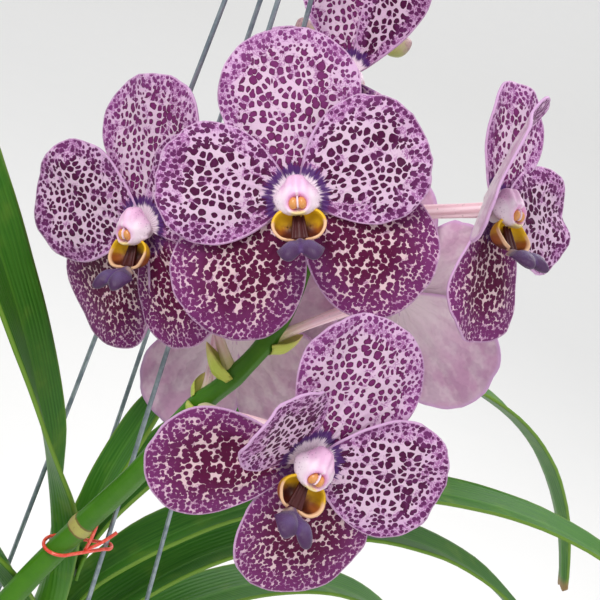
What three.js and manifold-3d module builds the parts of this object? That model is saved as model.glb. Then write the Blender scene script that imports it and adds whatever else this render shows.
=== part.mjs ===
// A vanda-type orchid in a small clay pot that hangs in a wire hanger: millimetres, +Z up.
// The origin is the inside top of the hanger's hook, where the whole thing hangs from.
import * as THREE from "three";
import { mergeVertices } from "three/addons/utils/BufferGeometryUtils.js";
import Module from "manifold-3d";

const wasm = await Module();
wasm.setup();

const DEG = Math.PI / 180;
const GAP = 0.3; // running gap between pieces that touch
const SLIVER = 0.05; // detail smaller than this is dropped when solids are joined

// Hanger: four straight wires that spread from the hook to a hoop under the pot's rim.
const WIRE = 1.0; // wire radius
const HOOK_WIRE = 1.5;
const HOOK_BEND = 9.5; // radius of the crook's centre line
const SPREAD = 0.0611; // the wires move out by this much for each millimetre down
const WIRE_TURN = 17; // degrees from -X to the first wire
const GATHER_Z = -34; // where the four wires are bound together
const TIED_WIRE = 1; // the wire that the flower spike is tied to

// Pot
const RIM_TOP = -690;
const RIM_HEIGHT = 14;
const RIM_RADIUS = 41;
const POT_HEIGHT = 85;
const POT_RADIUS = 37.5; // just under the rim
const POT_FOOT = 27.5;
const POT_WALL = 4;
const DRAIN_RADIUS = 6;
const FOOT_Z = RIM_TOP - POT_HEIGHT;
const HOOP_Z = RIM_TOP - RIM_HEIGHT - GAP - WIRE;
const HOOP_RADIUS = POT_RADIUS + GAP + WIRE + 0.4;
const FILL_Z = RIM_TOP - 9; // top of the bark

// Stem
const STEM_TOP = -516;
const STEM_FOOT = -748;
const STEM_RADIUS = 6;
const STEM_SIDES = 9;
const STEM_LEAN = -9; // how far the stem leans along X on its way up
const SCAR_TOP = -672; // the highest scar of a fallen leaf
const SCAR_STEP = 16;

// Leaves: a folded base that clasps the stem, then a keeled strap.
const LEAF_HALF_WIDTH = 14.5;
const LEAF_THICKNESS = 1.7;
const LEAF_STEPS = 12;
const CLASP = 13; // length of the base that follows the stem
const CLASP_RADIUS = STEM_RADIUS + LEAF_THICKNESS / 2 + GAP + 0.4;
const CLASP_ANGLE = 65 * DEG;

// Blooms, in the bloom's own axes: X to its right, Y up to the dorsal sepal, Z out of its face.
const TEPAL_THICKNESS = 0.9;
const TEPAL_RINGS = 3;
const TEPAL_FANS = 7;
const CLAW = 3; // where a tepal leaves the bloom's hub
const HINGE = 8; // where a tepal starts to lean forward or back
const HUB_RADIUS = 4.6;
const HUB_BACK = -2.2;
const HUB_FRONT = 3.2;
const PEDICEL_RADIUS = 2;

// Spike
const SPIKE_RADIUS = 5.2;
const SPIKE_TIP_RADIUS = 1.6;

const vec = (x, y, z) => new THREE.Vector3(x, y, z);
const lerp = THREE.MathUtils.lerp;
const ease = THREE.MathUtils.smoothstep;

// A closed mesh from its vertices and triangles, turned so that its faces point out.
function closedMesh(points, triangles) {
  let sixVolumes = 0;
  for (const [a, b, c] of triangles) {
    sixVolumes += points[a].dot(points[b].clone().cross(points[c]));
  }
  const facing = sixVolumes < 0 ? triangles.map(([a, b, c]) => [a, c, b]) : triangles;
  const geometry = new THREE.BufferGeometry().setFromPoints(points);
  geometry.setIndex(facing.flat());
  return geometry;
}

// A sheet of even thickness round a middle surface, its triangles alike on both faces.
function sheet(rows, columns, surface, thickness) {
  const middle = [];
  for (let i = 0; i <= rows; i++) {
    middle.push([]);
    for (let j = 0; j <= columns; j++) middle[i].push(surface(i / rows, (2 * j) / columns - 1));
  }
  const at = (i, j) => middle[Math.min(Math.max(i, 0), rows)][Math.min(Math.max(j, 0), columns)];
  const points = [];
  for (const side of [0.5, -0.5]) {
    for (let i = 0; i <= rows; i++) {
      for (let j = 0; j <= columns; j++) {
        const along = at(i + 1, j).clone().sub(at(i - 1, j));
        const across = at(i, j + 1).clone().sub(at(i, j - 1));
        const normal = along.cross(across).normalize();
        points.push(at(i, j).clone().addScaledVector(normal, side * thickness));
      }
    }
  }
  const wide = columns + 1;
  const under = (rows + 1) * wide;
  const triangles = [];
  for (let i = 0; i < rows; i++) {
    for (let j = 0; j < columns; j++) {
      const a = i * wide + j;
      const b = a + wide;
      triangles.push([a, b, b + 1], [a, b + 1, a + 1]);
      triangles.push([a + under, b + 1 + under, b + under], [a + under, a + 1 + under, b + 1 + under]);
    }
  }
  const rim = [];
  for (let j = 0; j < columns; j++) rim.push(j);
  for (let i = 0; i < rows; i++) rim.push(i * wide + columns);
  for (let j = columns; j > 0; j--) rim.push(rows * wide + j);
  for (let i = rows; i > 0; i--) rim.push(i * wide);
  rim.forEach((a, k) => {
    const b = rim[(k + 1) % rim.length];
    triangles.push([a, b, b + under], [a, b + under, a + under]);
  });
  return closedMesh(points, triangles);
}

// A closed body through rings of equal count, with a flat cap at each end.
function loft(rings) {
  const sides = rings[0].length;
  const points = rings.flat();
  const triangles = [];
  for (let i = 0; i + 1 < rings.length; i++) {
    for (let j = 0; j < sides; j++) {
      const a = i * sides + j;
      const b = i * sides + ((j + 1) % sides);
      triangles.push([a, b, b + sides], [a, b + sides, a + sides]);
    }
  }
  const last = (rings.length - 1) * sides;
  for (let j = 1; j + 1 < sides; j++) triangles.push([0, j + 1, j], [last, last + j, last + j + 1]);
  return closedMesh(points, triangles);
}

// A rod along a curve, whose radius is a function of the share of the way along.
function rod(curve, steps, sides, radiusAt) {
  const frames = curve.computeFrenetFrames(steps, false);
  const rings = [];
  for (let i = 0; i <= steps; i++) {
    const centre = curve.getPointAt(i / steps);
    const ring = [];
    for (let j = 0; j < sides; j++) {
      const turn = (2 * Math.PI * j) / sides;
      const radius = radiusAt(i / steps);
      const point = centre.clone().addScaledVector(frames.normals[i], radius * Math.cos(turn));
      ring.push(point.addScaledVector(frames.binormals[i], radius * Math.sin(turn)));
    }
    rings.push(ring);
  }
  return loft(rings);
}

// A rod of even radius through corner points, mitred at each corner.
function cornerRod(points, sides, radius) {
  const stops = points.map((p) => vec(...p));
  const ends = stops.length - 1;
  let side = null;
  const rings = stops.map((stop, i) => {
    const before = stop.clone().sub(stops[Math.max(i - 1, 0)]).normalize();
    const after = stops[Math.min(i + 1, ends)].clone().sub(stop).normalize();
    const along = before.add(after).normalize();
    side = (side ?? vec(along.z, 0.1, -along.x)).clone().projectOnPlane(along).normalize();
    const up = along.clone().cross(side);
    const ring = [];
    for (let j = 0; j < sides; j++) {
      const turn = (2 * Math.PI * j) / sides;
      const point = stop.clone().addScaledVector(side, radius * Math.cos(turn));
      ring.push(point.addScaledVector(up, radius * Math.sin(turn)));
    }
    return ring;
  });
  return loft(rings);
}

const through = (points) => new THREE.CatmullRomCurve3(points.map((p) => vec(...p)), false, "centripetal");

function toSolid(geometry) {
  const bare = geometry.clone();
  bare.deleteAttribute("normal");
  bare.deleteAttribute("uv");
  const merged = mergeVertices(bare, 1e-4);
  return new wasm.Manifold(
    new wasm.Mesh({
      numProp: 3,
      vertProperties: new Float32Array(merged.attributes.position.array),
      triVerts: new Uint32Array(merged.index.array),
    }),
  );
}

function toGeometry(solid) {
  const mesh = solid.getMesh();
  const geometry = new THREE.BufferGeometry();
  geometry.setAttribute("position", new THREE.BufferAttribute(mesh.vertProperties, 3));
  geometry.setIndex(new THREE.BufferAttribute(mesh.triVerts, 1));
  geometry.computeVertexNormals();
  return geometry;
}

// Solids joined into one body: a hollow that joining seals is filled, and a loose scrap is dropped.
function join(solids) {
  const whole = solids.reduce((sum, next) => sum.add(next)).simplify(SLIVER);
  return whole.decompose().sort((a, b) => b.volume() - a.volume())[0];
}

const finish = (color, roughness, metalness = 0) =>
  new THREE.MeshStandardMaterial({ color, roughness, metalness });

const CLAY = finish(0xb5673f, 0.85);
const GALVANISED = finish(0x8f979b, 0.45, 0.8);
const BARK = finish(0x5a3d28, 0.95);
const STEM = finish(0x6f8a3c, 0.6);
const ROOT = finish(0xa9b09a, 0.8);
const LEAF = finish(0x4f8c35, 0.45);
const SPIKE = finish(0x6fa03a, 0.5);
const TEPAL = finish(0x9a4b8c, 0.5);
const COLUMN = finish(0xf0c8dc, 0.45);
const THROAT = finish(0xb98a3a, 0.45);
const LIP = finish(0x63507f, 0.45);
const BUD = finish(0x9c9a5a, 0.5);
const TIE = finish(0xe8462e, 0.5);

const root = new THREE.Group();

function addPiece(name, geometry, material, parent = root) {
  const mesh = new THREE.Mesh(geometry, material);
  mesh.name = name;
  parent.add(mesh);
  return mesh;
}

// The middle of the stem at a height.
const stemAt = (z) => vec(STEM_LEAN * ease(z, RIM_TOP, STEM_TOP), 0, z);

const wireAngle = (k) => Math.PI + (WIRE_TURN + 90 * k) * DEG;

// A wire's centre at a height below the hook.
function wireAt(k, z) {
  const reach = -z * SPREAD;
  return [reach * Math.cos(wireAngle(k)), reach * Math.sin(wireAngle(k)), z];
}

function makeHanger() {
  const pieces = [];
  const hoop = new THREE.TorusGeometry(HOOP_RADIUS, WIRE, 5, 24).translate(0, 0, HOOP_Z);
  pieces.push(toSolid(hoop));
  for (let k = 0; k < 4; k++) {
    const turn = wireAt(k, HOOP_Z + 1);
    const foot = [HOOP_RADIUS * Math.cos(wireAngle(k)), HOOP_RADIUS * Math.sin(wireAngle(k)), HOOP_Z];
    const bend = [(turn[0] + foot[0]) / 2, (turn[1] + foot[1]) / 2, HOOP_Z - 0.4];
    pieces.push(toSolid(cornerRod([wireAt(k, GATHER_Z + 6), turn, bend, foot], 5, WIRE)));
  }
  const binding = new THREE.CylinderGeometry(3.4, 4.2, 16, 8).rotateX(90 * DEG);
  pieces.push(toSolid(binding.translate(0, 0, GATHER_Z + 3)));
  const crookZ = HOOK_WIRE - HOOK_BEND;
  const crook = [[0, 0, GATHER_Z], [0, 0, GATHER_Z + 8], [HOOK_BEND * 0.55, 0, crookZ - HOOK_BEND * 0.85]];
  for (let turn = -20; turn <= 200; turn += 20) {
    crook.push([HOOK_BEND * Math.cos(turn * DEG), 0, crookZ + HOOK_BEND * Math.sin(turn * DEG)]);
  }
  pieces.push(toSolid(rod(through(crook), 16, 6, () => HOOK_WIRE)));
  addPiece("hanger", toGeometry(join(pieces)), GALVANISED);
}

// The pot's outer radius at a height below its rim.
const potWallAt = (z) => lerp(POT_FOOT, POT_RADIUS, (z - FOOT_Z) / (POT_HEIGHT - RIM_HEIGHT));

function makePot() {
  const under = RIM_TOP - RIM_HEIGHT;
  const floor = FOOT_Z + POT_WALL + 1;
  const outline = [
    [0, FOOT_Z],
    [POT_FOOT - 1, FOOT_Z],
    [POT_FOOT, FOOT_Z + 1],
    [POT_RADIUS, under],
    [RIM_RADIUS - 0.6, under],
    [RIM_RADIUS, under + 1],
    [RIM_RADIUS, RIM_TOP - 2],
    [RIM_RADIUS - 1.5, RIM_TOP],
    [RIM_RADIUS - POT_WALL, RIM_TOP],
    [RIM_RADIUS - POT_WALL - 1, RIM_TOP - 2],
    [potWallAt(under) - POT_WALL, under],
    [potWallAt(floor) - POT_WALL, floor],
    [0, floor],
  ];
  const profile = outline.map(([r, z]) => new THREE.Vector2(r, z));
  const body = toSolid(new THREE.LatheGeometry(profile, 24).rotateX(90 * DEG));
  const drain = new THREE.CylinderGeometry(DRAIN_RADIUS, DRAIN_RADIUS, 20, 16).rotateX(90 * DEG);
  addPiece("pot", toGeometry(body.subtract(toSolid(drain.translate(0, 0, FOOT_Z)))), CLAY);
}

// A repeatable draw between 0 and 1.
function seededDraw(seed) {
  let state = seed;
  return () => {
    state = (state * 16807) % 2147483647;
    return state / 2147483647;
  };
}

const ROOTS = [
  { turn: 205, rise: -672, path: [[16, -12], [26, -22], [28, -40]] },
  { turn: 330, rise: -664, path: [[18, -10], [27, -28], [24, -52]] },
  { turn: 95, rise: -668, path: [[15, -14], [22, -26], [25, -44]] },
  { turn: 22, rise: -657, path: [[22, 3], [38, -6], [50, -30], [53, -62], [50, -96]] },
  { turn: 150, rise: -650, path: [[24, 2], [42, -10], [52, -36], [56, -70], [55, -104]] },
];
const ROOT_RADIUS = 2.6;

function rootRod({ turn, rise, path }, radius) {
  const out = vec(Math.cos(turn * DEG), Math.sin(turn * DEG), 0);
  const start = stemAt(rise);
  const slope = Math.atan2(Math.abs(path[0][1]), path[0][0] - STEM_RADIUS);
  const clear = STEM_RADIUS + GAP + 0.1 + ROOT_RADIUS * Math.sin(slope);
  const points = [[clear, 0], ...path].map(([reach, drop]) =>
    start.clone().addScaledVector(out, reach).add(vec(0, 0, drop)).toArray());
  return rod(through(points), 3 * path.length, 6, (t) => radius * (1 - 0.45 * ease(t, 0.8, 1)));
}

function makeRoots() {
  ROOTS.forEach((one, k) => addPiece(`aerial_root_${k + 1}`, rootRod(one, ROOT_RADIUS), ROOT));
}

const BARK_CHIPS = 13;

function makeBark() {
  const draw = seededDraw(41);
  const floor = FOOT_Z + POT_WALL + 1 + GAP;
  const wide = potWallAt(RIM_TOP - RIM_HEIGHT) - POT_WALL - 1;
  const narrow = potWallAt(floor) - POT_WALL - 0.6;
  const fill = new THREE.CylinderGeometry(wide, narrow, FILL_Z - floor - 3, 20).rotateX(90 * DEG);
  let bark = toSolid(fill.translate(0, 0, (FILL_Z + floor - 3) / 2));
  for (let k = 0; k < BARK_CHIPS; k++) {
    const reach = (wide - 5) * Math.sqrt((k + 0.5) / BARK_CHIPS);
    const turn = 2.4 * k;
    const chip = new THREE.BoxGeometry(13 + 6 * draw(), 9 + 4 * draw(), 4 + 3 * draw());
    chip.rotateX(1.2 * (draw() - 0.5)).rotateY(1.2 * (draw() - 0.5)).rotateZ(6 * draw());
    chip.translate(reach * Math.cos(turn), reach * Math.sin(turn), FILL_Z - 3.2 + 1.6 * draw());
    bark = bark.add(toSolid(chip));
  }
  const mouth = new THREE.CylinderGeometry(wide, wide, 60, 20).rotateX(90 * DEG);
  bark = bark.intersect(toSolid(mouth.translate(0, 0, FILL_Z - 10)).add(toSolid(fill)));
  bark = bark.subtract(toSolid(rod(stemLine(STEM_FOOT - GAP), 12, 12, () => STEM_RADIUS + 2.4)));
  for (const one of ROOTS.slice(0, 3)) bark = bark.subtract(toSolid(rootRod(one, ROOT_RADIUS + GAP + 0.2)));
  addPiece("bark_mix", toGeometry(join([bark])), BARK);
}

function stemLine(foot) {
  const stops = [];
  for (let k = 0; k <= 6; k++) stops.push(stemAt(lerp(foot, STEM_TOP, k / 6)).toArray());
  return through(stops);
}

// The stem thickens into a low ring at each old leaf scar.
function makeStem() {
  const radiusAt = (t) => {
    const z = lerp(STEM_FOOT, STEM_TOP, t);
    const bare = z < SCAR_TOP ? 1 : 0;
    const ring = bare * Math.max(0, Math.cos((2 * Math.PI * (z - SCAR_TOP)) / SCAR_STEP)) ** 3;
    return STEM_RADIUS * (1 - 0.3 * ease(z, STEM_TOP - 12, STEM_TOP)) + 0.9 * ring;
  };
  addPiece("stem", rod(stemLine(STEM_FOOT), 24, STEM_SIDES, radiusAt), STEM);
}

// Each leaf: height of its base, heading at base and tip, rise at base and tip, length, width share,
// and for one the twist of its blade.
const LEAVES = [
  { z: -516, head: [60, 40], rise: [86, 60], long: 95, wide: 0.62 },
  { z: -530, head: [62, 26], rise: [54, -72], long: 470, wide: 0.98 },
  { z: -545, head: [256, 153], rise: [74, 43], long: 400, wide: 1, twist: 34 },
  { z: -560, head: [57, 3], rise: [34, -38], long: 450, wide: 1 },
  { z: -575, head: [234, 195], rise: [60, 2], long: 330, wide: 1 },
  { z: -592, head: [56, 12], rise: [46, -72], long: 450, wide: 1 },
  { z: -607, head: [229, 186], rise: [52, -34], long: 350, wide: 1 },
  { z: -622, head: [62, 30], rise: [40, -66], long: 380, wide: 1 },
  { z: -637, head: [226, 194], rise: [40, -62], long: 330, wide: 0.97 },
  { z: -653, head: [66, 44], rise: [34, -76], long: 320, wide: 0.95 },
];

// A leaf's middle line with its directions, one entry for each step along it.
function leafLine({ z, head, rise, long, twist = 0 }) {
  const fine = 8;
  const count = LEAF_STEPS * fine;
  const outAt = (s) => lerp(head[0], head[1], s ** 0.75) * DEG;
  const point = stemAt(z);
  point.add(vec(Math.cos(outAt(0)), Math.sin(outAt(0)), 0).multiplyScalar(CLASP_RADIUS));
  const line = [];
  for (let k = 0; k <= count; k++) {
    const s = (k / count) ** 1.25;
    const out = outAt(s);
    const steep = lerp(lerp(rise[0], rise[1], s), 89, Math.exp(-((s * long / CLASP) ** 2))) * DEG;
    const along = vec(Math.cos(steep) * Math.cos(out), Math.cos(steep) * Math.sin(out), Math.sin(steep));
    const inner = vec(-Math.sin(steep) * Math.cos(out), -Math.sin(steep) * Math.sin(out), Math.cos(steep));
    inner.applyAxisAngle(along, -twist * DEG * ease(s * long, CLASP, 120));
    if (k % fine === 0) line.push({ point: point.clone(), inner, across: along.clone().cross(inner), s });
    const next = ((k + 1) / count) ** 1.25;
    point.addScaledVector(along, (next - s) * long);
  }
  return line;
}

// Half width of a leaf along its length: a narrow base, a long even strap and a blunt tip.
function leafHalfWidth(s, long, wide) {
  const base = CLASP_RADIUS * CLASP_ANGLE;
  const strap = LEAF_HALF_WIDTH * wide;
  const grown = lerp(base, strap, ease(s * long, CLASP * 0.6, 70));
  return grown * (1 - 0.62 * ease(s, 0.55, 1) ** 2.2);
}

function makeLeaf(leaf, k) {
  const line = leafLine(leaf);
  const surface = (u, v) => {
    const { point, inner, across, s } = line[Math.round(u * LEAF_STEPS)];
    const half = leafHalfWidth(s, leaf.long, leaf.wide);
    const clasp = 1 - ease(s * leaf.long, CLASP, CLASP * 2.4);
    const keel = (38 - 24 * ease(s, 0, 0.5)) * DEG;
    const q = Math.abs(v);
    const roundX = (half / CLASP_ANGLE) * Math.sin(CLASP_ANGLE * q);
    const roundY = (half / CLASP_ANGLE) * (1 - Math.cos(CLASP_ANGLE * q));
    const x = Math.sign(v) * lerp(half * q * Math.cos(keel), roundX, clasp);
    const y = lerp(half * q * Math.sin(keel), roundY, clasp);
    return point.clone().addScaledVector(across, x).addScaledVector(inner, y);
  };
  addPiece(`leaf_${k + 1}`, sheet(LEAF_STEPS, 4, surface, LEAF_THICKNESS), LEAF);
}

// A tepal's outline is a fan round the bloom's middle: turn is its bearing from the dorsal sepal,
// fan the half angle it covers and long its reach. Lean, wave and step go forward in Z, and cup curls
// the half after its bearing forward.
const SEPAL = { lean: -3, cup: 0, wave: 0.9, step: 0 };
const PETAL = { lean: 5, cup: 0, wave: 1.2, step: 1.9 };

function tepalPoint(tepal, u, v) {
  const { turn, fan, long, lean, cup, wave, step } = tepal;
  const side = Math.sin((Math.PI / 2) * v);
  const angle = side * fan * DEG;
  const reach = Math.max(long * Math.sqrt(Math.max(0, 1 - Math.abs(side) ** 2.3)), CLAW + 1.2);
  const r = lerp(CLAW, reach, u);
  const x = r * Math.sin(angle);
  const y = r * Math.cos(angle);
  const beyond = Math.max(0, y - HINGE);
  const ripple = wave * u ** 3 * ease(r, HINGE, 3 * HINGE) * Math.sin(3 * Math.PI * side + turn);
  const outY = Math.min(y, HINGE) + beyond * Math.cos(lean * DEG);
  const curl = (cup * Math.max(0, x) ** 2) / long;
  const outZ = step + curl + ripple + beyond * Math.sin(lean * DEG);
  const bearing = turn * DEG;
  return vec(
    x * Math.cos(bearing) + outY * Math.sin(bearing),
    outY * Math.cos(bearing) - x * Math.sin(bearing),
    outZ,
  );
}

const tepals = (dorsal, petalLeft, petalRight, lateralLeft, lateralRight) => [
  { ...SEPAL, ...dorsal },
  { ...SEPAL, ...lateralLeft },
  { ...SEPAL, ...lateralRight },
  { ...PETAL, ...petalLeft },
  { ...PETAL, ...petalRight },
];

// Each bloom: its middle, which way it faces (bearing from -Y, rise, roll) and its tepals.
const BLOOMS = [
  {
    middle: [37, -70, -308],
    facing: [0, 20, -24],
    tepals: tepals(
      { turn: 0, fan: 49, long: 60 },
      { turn: -77, fan: 51, long: 50 },
      { turn: 67, fan: 55, long: 50 },
      { turn: -138, fan: 50, long: 56 },
      { turn: 129, fan: 50, long: 55 },
    ),
  },
  {
    middle: [-14, -37, -348],
    facing: [-33, -1, -22],
    tepals: tepals(
      { turn: 2, fan: 50, long: 58 },
      { turn: -77, fan: 50, long: 57 },
      { turn: 58, fan: 50, long: 48 },
      { turn: -134, fan: 54, long: 60, lean: -10 },
      { turn: 150, fan: 46, long: 50 },
    ),
  },
  {
    middle: [104, -43, -295],
    facing: [51, 27, 10],
    tepals: tepals(
      { turn: 14, fan: 40, long: 50, lean: 3 },
      { turn: -68, fan: 60, long: 54, lean: 46, cup: 0.7 },
      { turn: 88, fan: 52, long: 47, lean: 0 },
      { turn: 174, fan: 50, long: 49, lean: -6 },
      { turn: 130, fan: 40, long: 42, lean: -40 },
    ),
  },
  {
    middle: [71, -109.5, -381],
    facing: [26, 8, 20],
    tepals: tepals(
      { turn: 0, fan: 52, long: 55 },
      { turn: -72, fan: 51, long: 42, lean: 36 },
      { turn: 73, fan: 50, long: 52 },
      { turn: -121, fan: 40, long: 56, lean: -6 },
      { turn: 147, fan: 57, long: 52 },
    ),
  },
  {
    middle: [39, 5, -277],
    facing: [-22, 5, -20],
    tepals: tepals(
      { turn: -14, fan: 31, long: 56 },
      { turn: -84, fan: 44, long: 44 },
      { turn: 35, fan: 25, long: 56, lean: 11 },
      { turn: -145, fan: 44, long: 46 },
      { turn: 152, fan: 40, long: 44 },
    ),
  },
  {
    middle: [28, -13, -382],
    facing: [161, -5, 26],
    tepals: tepals(
      { turn: 0, fan: 50, long: 52 },
      { turn: -74, fan: 52, long: 46 },
      { turn: 74, fan: 50, long: 44 },
      { turn: -140, fan: 50, long: 54 },
      { turn: 140, fan: 50, long: 54 },
    ),
  },
  {
    middle: [85, -4, -350],
    facing: [156, 1, 27],
    tepals: tepals(
      { turn: 0, fan: 50, long: 52 },
      { turn: -74, fan: 52, long: 46 },
      { turn: 74, fan: 52, long: 46 },
      { turn: -140, fan: 50, long: 54 },
      { turn: 140, fan: 50, long: 54 },
    ),
  },
];

function bloomFrame({ middle, facing }) {
  const frame = new THREE.Group();
  const [bearing, rise, roll] = facing.map((angle) => angle * DEG);
  frame.position.set(...middle);
  frame.rotation.set(Math.PI / 2 - rise, 0, bearing, "ZXY");
  frame.rotateZ(-roll);
  frame.updateMatrixWorld(true);
  return frame;
}

// The stout column with its two shoulders and, at its end, the anther cap.
function columnSolid() {
  const stations = [[HUB_FRONT + GAP, -1.2, 4.2], [8, -1.7, 4.1], [12.5, -3, 3.2]];
  const body = loft(stations.map(([z, y, radius]) => {
    const ring = [];
    for (let j = 0; j < 7; j++) {
      const turn = (j * 2 * Math.PI) / 7;
      ring.push(vec(radius * Math.cos(turn), y + radius * 0.95 * Math.sin(turn), z));
    }
    return ring;
  }));
  const shoulders = new THREE.SphereGeometry(1, 7, 4).scale(8, 3.2, 2.3).translate(0, 0.6, 6.2);
  const anther = new THREE.SphereGeometry(2.9, 6, 4).scale(1.1, 0.9, 0.9).translate(0, -3.4, 12.6);
  return join([
    toSolid(body),
    toSolid(shoulders),
    toSolid(anther),
  ]);
}

// The lip's throat: two cupped side lobes that meet under the column.
function throatGeometry() {
  const surface = (u, v) => {
    const cup = Math.sqrt(Math.abs(Math.sin(Math.PI * v * 0.94)));
    const flare = 1 + 0.12 * u;
    return vec(9 * v * flare, (-6.2 - 6.4 * cup) * flare, lerp(HUB_FRONT + GAP + 0.6, 11, u));
  };
  return sheet(1, 10, surface, 1.1);
}

// The lip's midlobe: a thick tongue, narrow at its root and two-lobed at its end.
function midlobeGeometry() {
  const surface = (u, v) => {
    const notch = 1 - 0.16 * u * Math.max(0, 1 - 2.2 * Math.abs(v)) ** 0.7;
    const reach = u * notch;
    const half = lerp(3.6, 8.2, ease(u, 0.05, 0.8)) * (1 - 0.22 * ease(u, 0.85, 1));
    const ridge = 1.3 * Math.cos(Math.PI * v) * (1 - u);
    return vec(half * v, -15 - 3.5 * reach - 3 * reach * reach - 2.4 * v * v * u + ridge, 9.5 + 14 * reach);
  };
  return sheet(3, 4, surface, 2);
}

const COLUMN_BODY = toGeometry(columnSolid());
const THROAT_BODY = throatGeometry();
const MIDLOBE_BODY = midlobeGeometry();

function makeBloom(bloom, k) {
  const frame = bloomFrame(bloom);
  const name = `bloom_${k + 1}`;
  const hub = new THREE.CylinderGeometry(HUB_RADIUS, HUB_RADIUS * 0.8, HUB_FRONT - HUB_BACK, 7);
  const pieces = [toSolid(hub.rotateX(90 * DEG).translate(0, 0, (HUB_FRONT + HUB_BACK) / 2))];
  for (const tepal of bloom.tepals) {
    const surface = (u, v) => tepalPoint(tepal, u, v);
    pieces.push(toSolid(sheet(TEPAL_RINGS, TEPAL_FANS, surface, TEPAL_THICKNESS)));
  }
  addPiece(`${name}_tepals`, toGeometry(join(pieces)), TEPAL, frame);
  addPiece(`${name}_column`, COLUMN_BODY.clone(), COLUMN, frame);
  addPiece(`${name}_throat`, THROAT_BODY.clone(), THROAT, frame);
  addPiece(`${name}_midlobe`, MIDLOBE_BODY.clone(), LIP, frame);
  root.add(frame);
}

// The spike leaves the stem between two wires, climbs in front of the hanger and bends back.
const SPIKE_LINE = through([
  [-8, -10, -656],
  [-11, -25, -634],
  [-20, -42, -606],
  [-30, -49, -574],
  [-29, -48, -545],
  [-18, -40, -514],
  [-2.4, -36.7, -479.6],
  [13.6, -44.4, -442.3],
  [25.1, -51, -407.8],
  [36, -51.4, -388.3],
  [43.8, -45.2, -371.3],
  [47.1, -32.7, -357.5],
  [46.1, -2.7, -333.7],
  [42.9, 14.6, -321.3],
  [36.9, 36.5, -302],
  [30.4, 50, -281],
]);
const SPIKE_JOINT = -479.6; // height of the ring where the bare stalk has its last node

// Where each pedicel starts: a height on the spike.
const PEDICEL_Z = [-341, -388, -333, -404, -308, -401, -372];

// The share of the way along the spike at which it passes a height.
function spikeShareAt(z) {
  const awayAt = (share) => Math.abs(SPIKE_LINE.getPointAt(share).z - z);
  let best = 0;
  for (let k = 1; k <= 400; k++) {
    if (awayAt(k / 400) < awayAt(best)) best = k / 400;
  }
  return best;
}

const spikePointAt = (z) => SPIKE_LINE.getPointAt(spikeShareAt(z));

function pedicelSolids(bloom, k) {
  const frame = bloomFrame(bloom);
  const start = spikePointAt(PEDICEL_Z[k]);
  const end = vec(0, 0, HUB_BACK - GAP).applyMatrix4(frame.matrixWorld);
  const back = vec(0, 0, -1).transformDirection(frame.matrixWorld);
  const span = start.distanceTo(end);
  const leave = end.clone().sub(start).normalize().multiplyScalar(span * 0.35);
  const bend = new THREE.CubicBezierCurve3(
    start,
    start.clone().add(leave).add(vec(0, 0, 2)),
    end.clone().addScaledVector(back, span * 0.4),
    end,
  );
  const stalk = rod(bend, 6, 5, (t) => PEDICEL_RADIUS + 0.9 * ease(t, 0.3, 0.85));
  const bract = new THREE.ConeGeometry(3.6, 9, 4).scale(1, 1, 0.6).translate(0, 4.5, 0);
  const aim = new THREE.Quaternion().setFromUnitVectors(vec(0, 1, 0), leave.clone().normalize());
  bract.applyQuaternion(aim).translate(...start.clone().addScaledVector(leave, 0.06).toArray());
  return [toSolid(stalk), toSolid(bract)];
}

const BUD_STALKS = [
  { z: -296, reach: [-15, 6, 16] },
  { z: -287, reach: [16, 8, 15] },
  { z: -281.5, reach: [-2, 10, 20] },
];
const BUD_OUTLINE = [[0, 0], [2.2, 1.2], [5, 5], [5.4, 8], [3.8, 12], [1.4, 14.6], [0, 15]];

function makeSpike() {
  const total = SPIKE_LINE.getLength();
  const jointAt = total * spikeShareAt(SPIKE_JOINT);
  const radiusAt = (t) => {
    const away = (t * total - jointAt) / 3.5;
    const plain = lerp(SPIKE_RADIUS, SPIKE_TIP_RADIUS, ease(t, 0.35, 1.15));
    return plain + 0.7 * Math.exp(-away * away);
  };
  const pieces = [toSolid(rod(SPIKE_LINE, 28, 7, radiusAt))];
  BLOOMS.forEach((bloom, k) => pieces.push(...pedicelSolids(bloom, k)));
  for (const { z, reach } of BUD_STALKS) {
    const start = spikePointAt(z);
    const line = new THREE.LineCurve3(start, start.clone().add(vec(...reach)));
    pieces.push(toSolid(rod(line, 1, 6, () => 1.1)));
  }
  addPiece("flower_spike", toGeometry(join(pieces)), SPIKE);
}

function makeBuds() {
  BUD_STALKS.forEach(({ z, reach }, k) => {
    const size = 1 - 0.18 * k;
    const outline = BUD_OUTLINE.map(([r, h]) => new THREE.Vector2(r * size, h * size));
    const shape = new THREE.LatheGeometry(outline, 9);
    const along = vec(...reach);
    const start = spikePointAt(z).add(along).addScaledVector(along.clone().normalize(), GAP);
    const aim = new THREE.Quaternion().setFromUnitVectors(vec(0, 1, 0), along.clone().normalize());
    addPiece(`bud_${k + 1}`, shape.applyQuaternion(aim).translate(...start.toArray()), BUD);
  });
}

// A plastic twist tie: one loop round the spike and the wire, twisted between them.
const TIE_RADIUS = 0.75;
const TIE_Z = -490;

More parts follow.
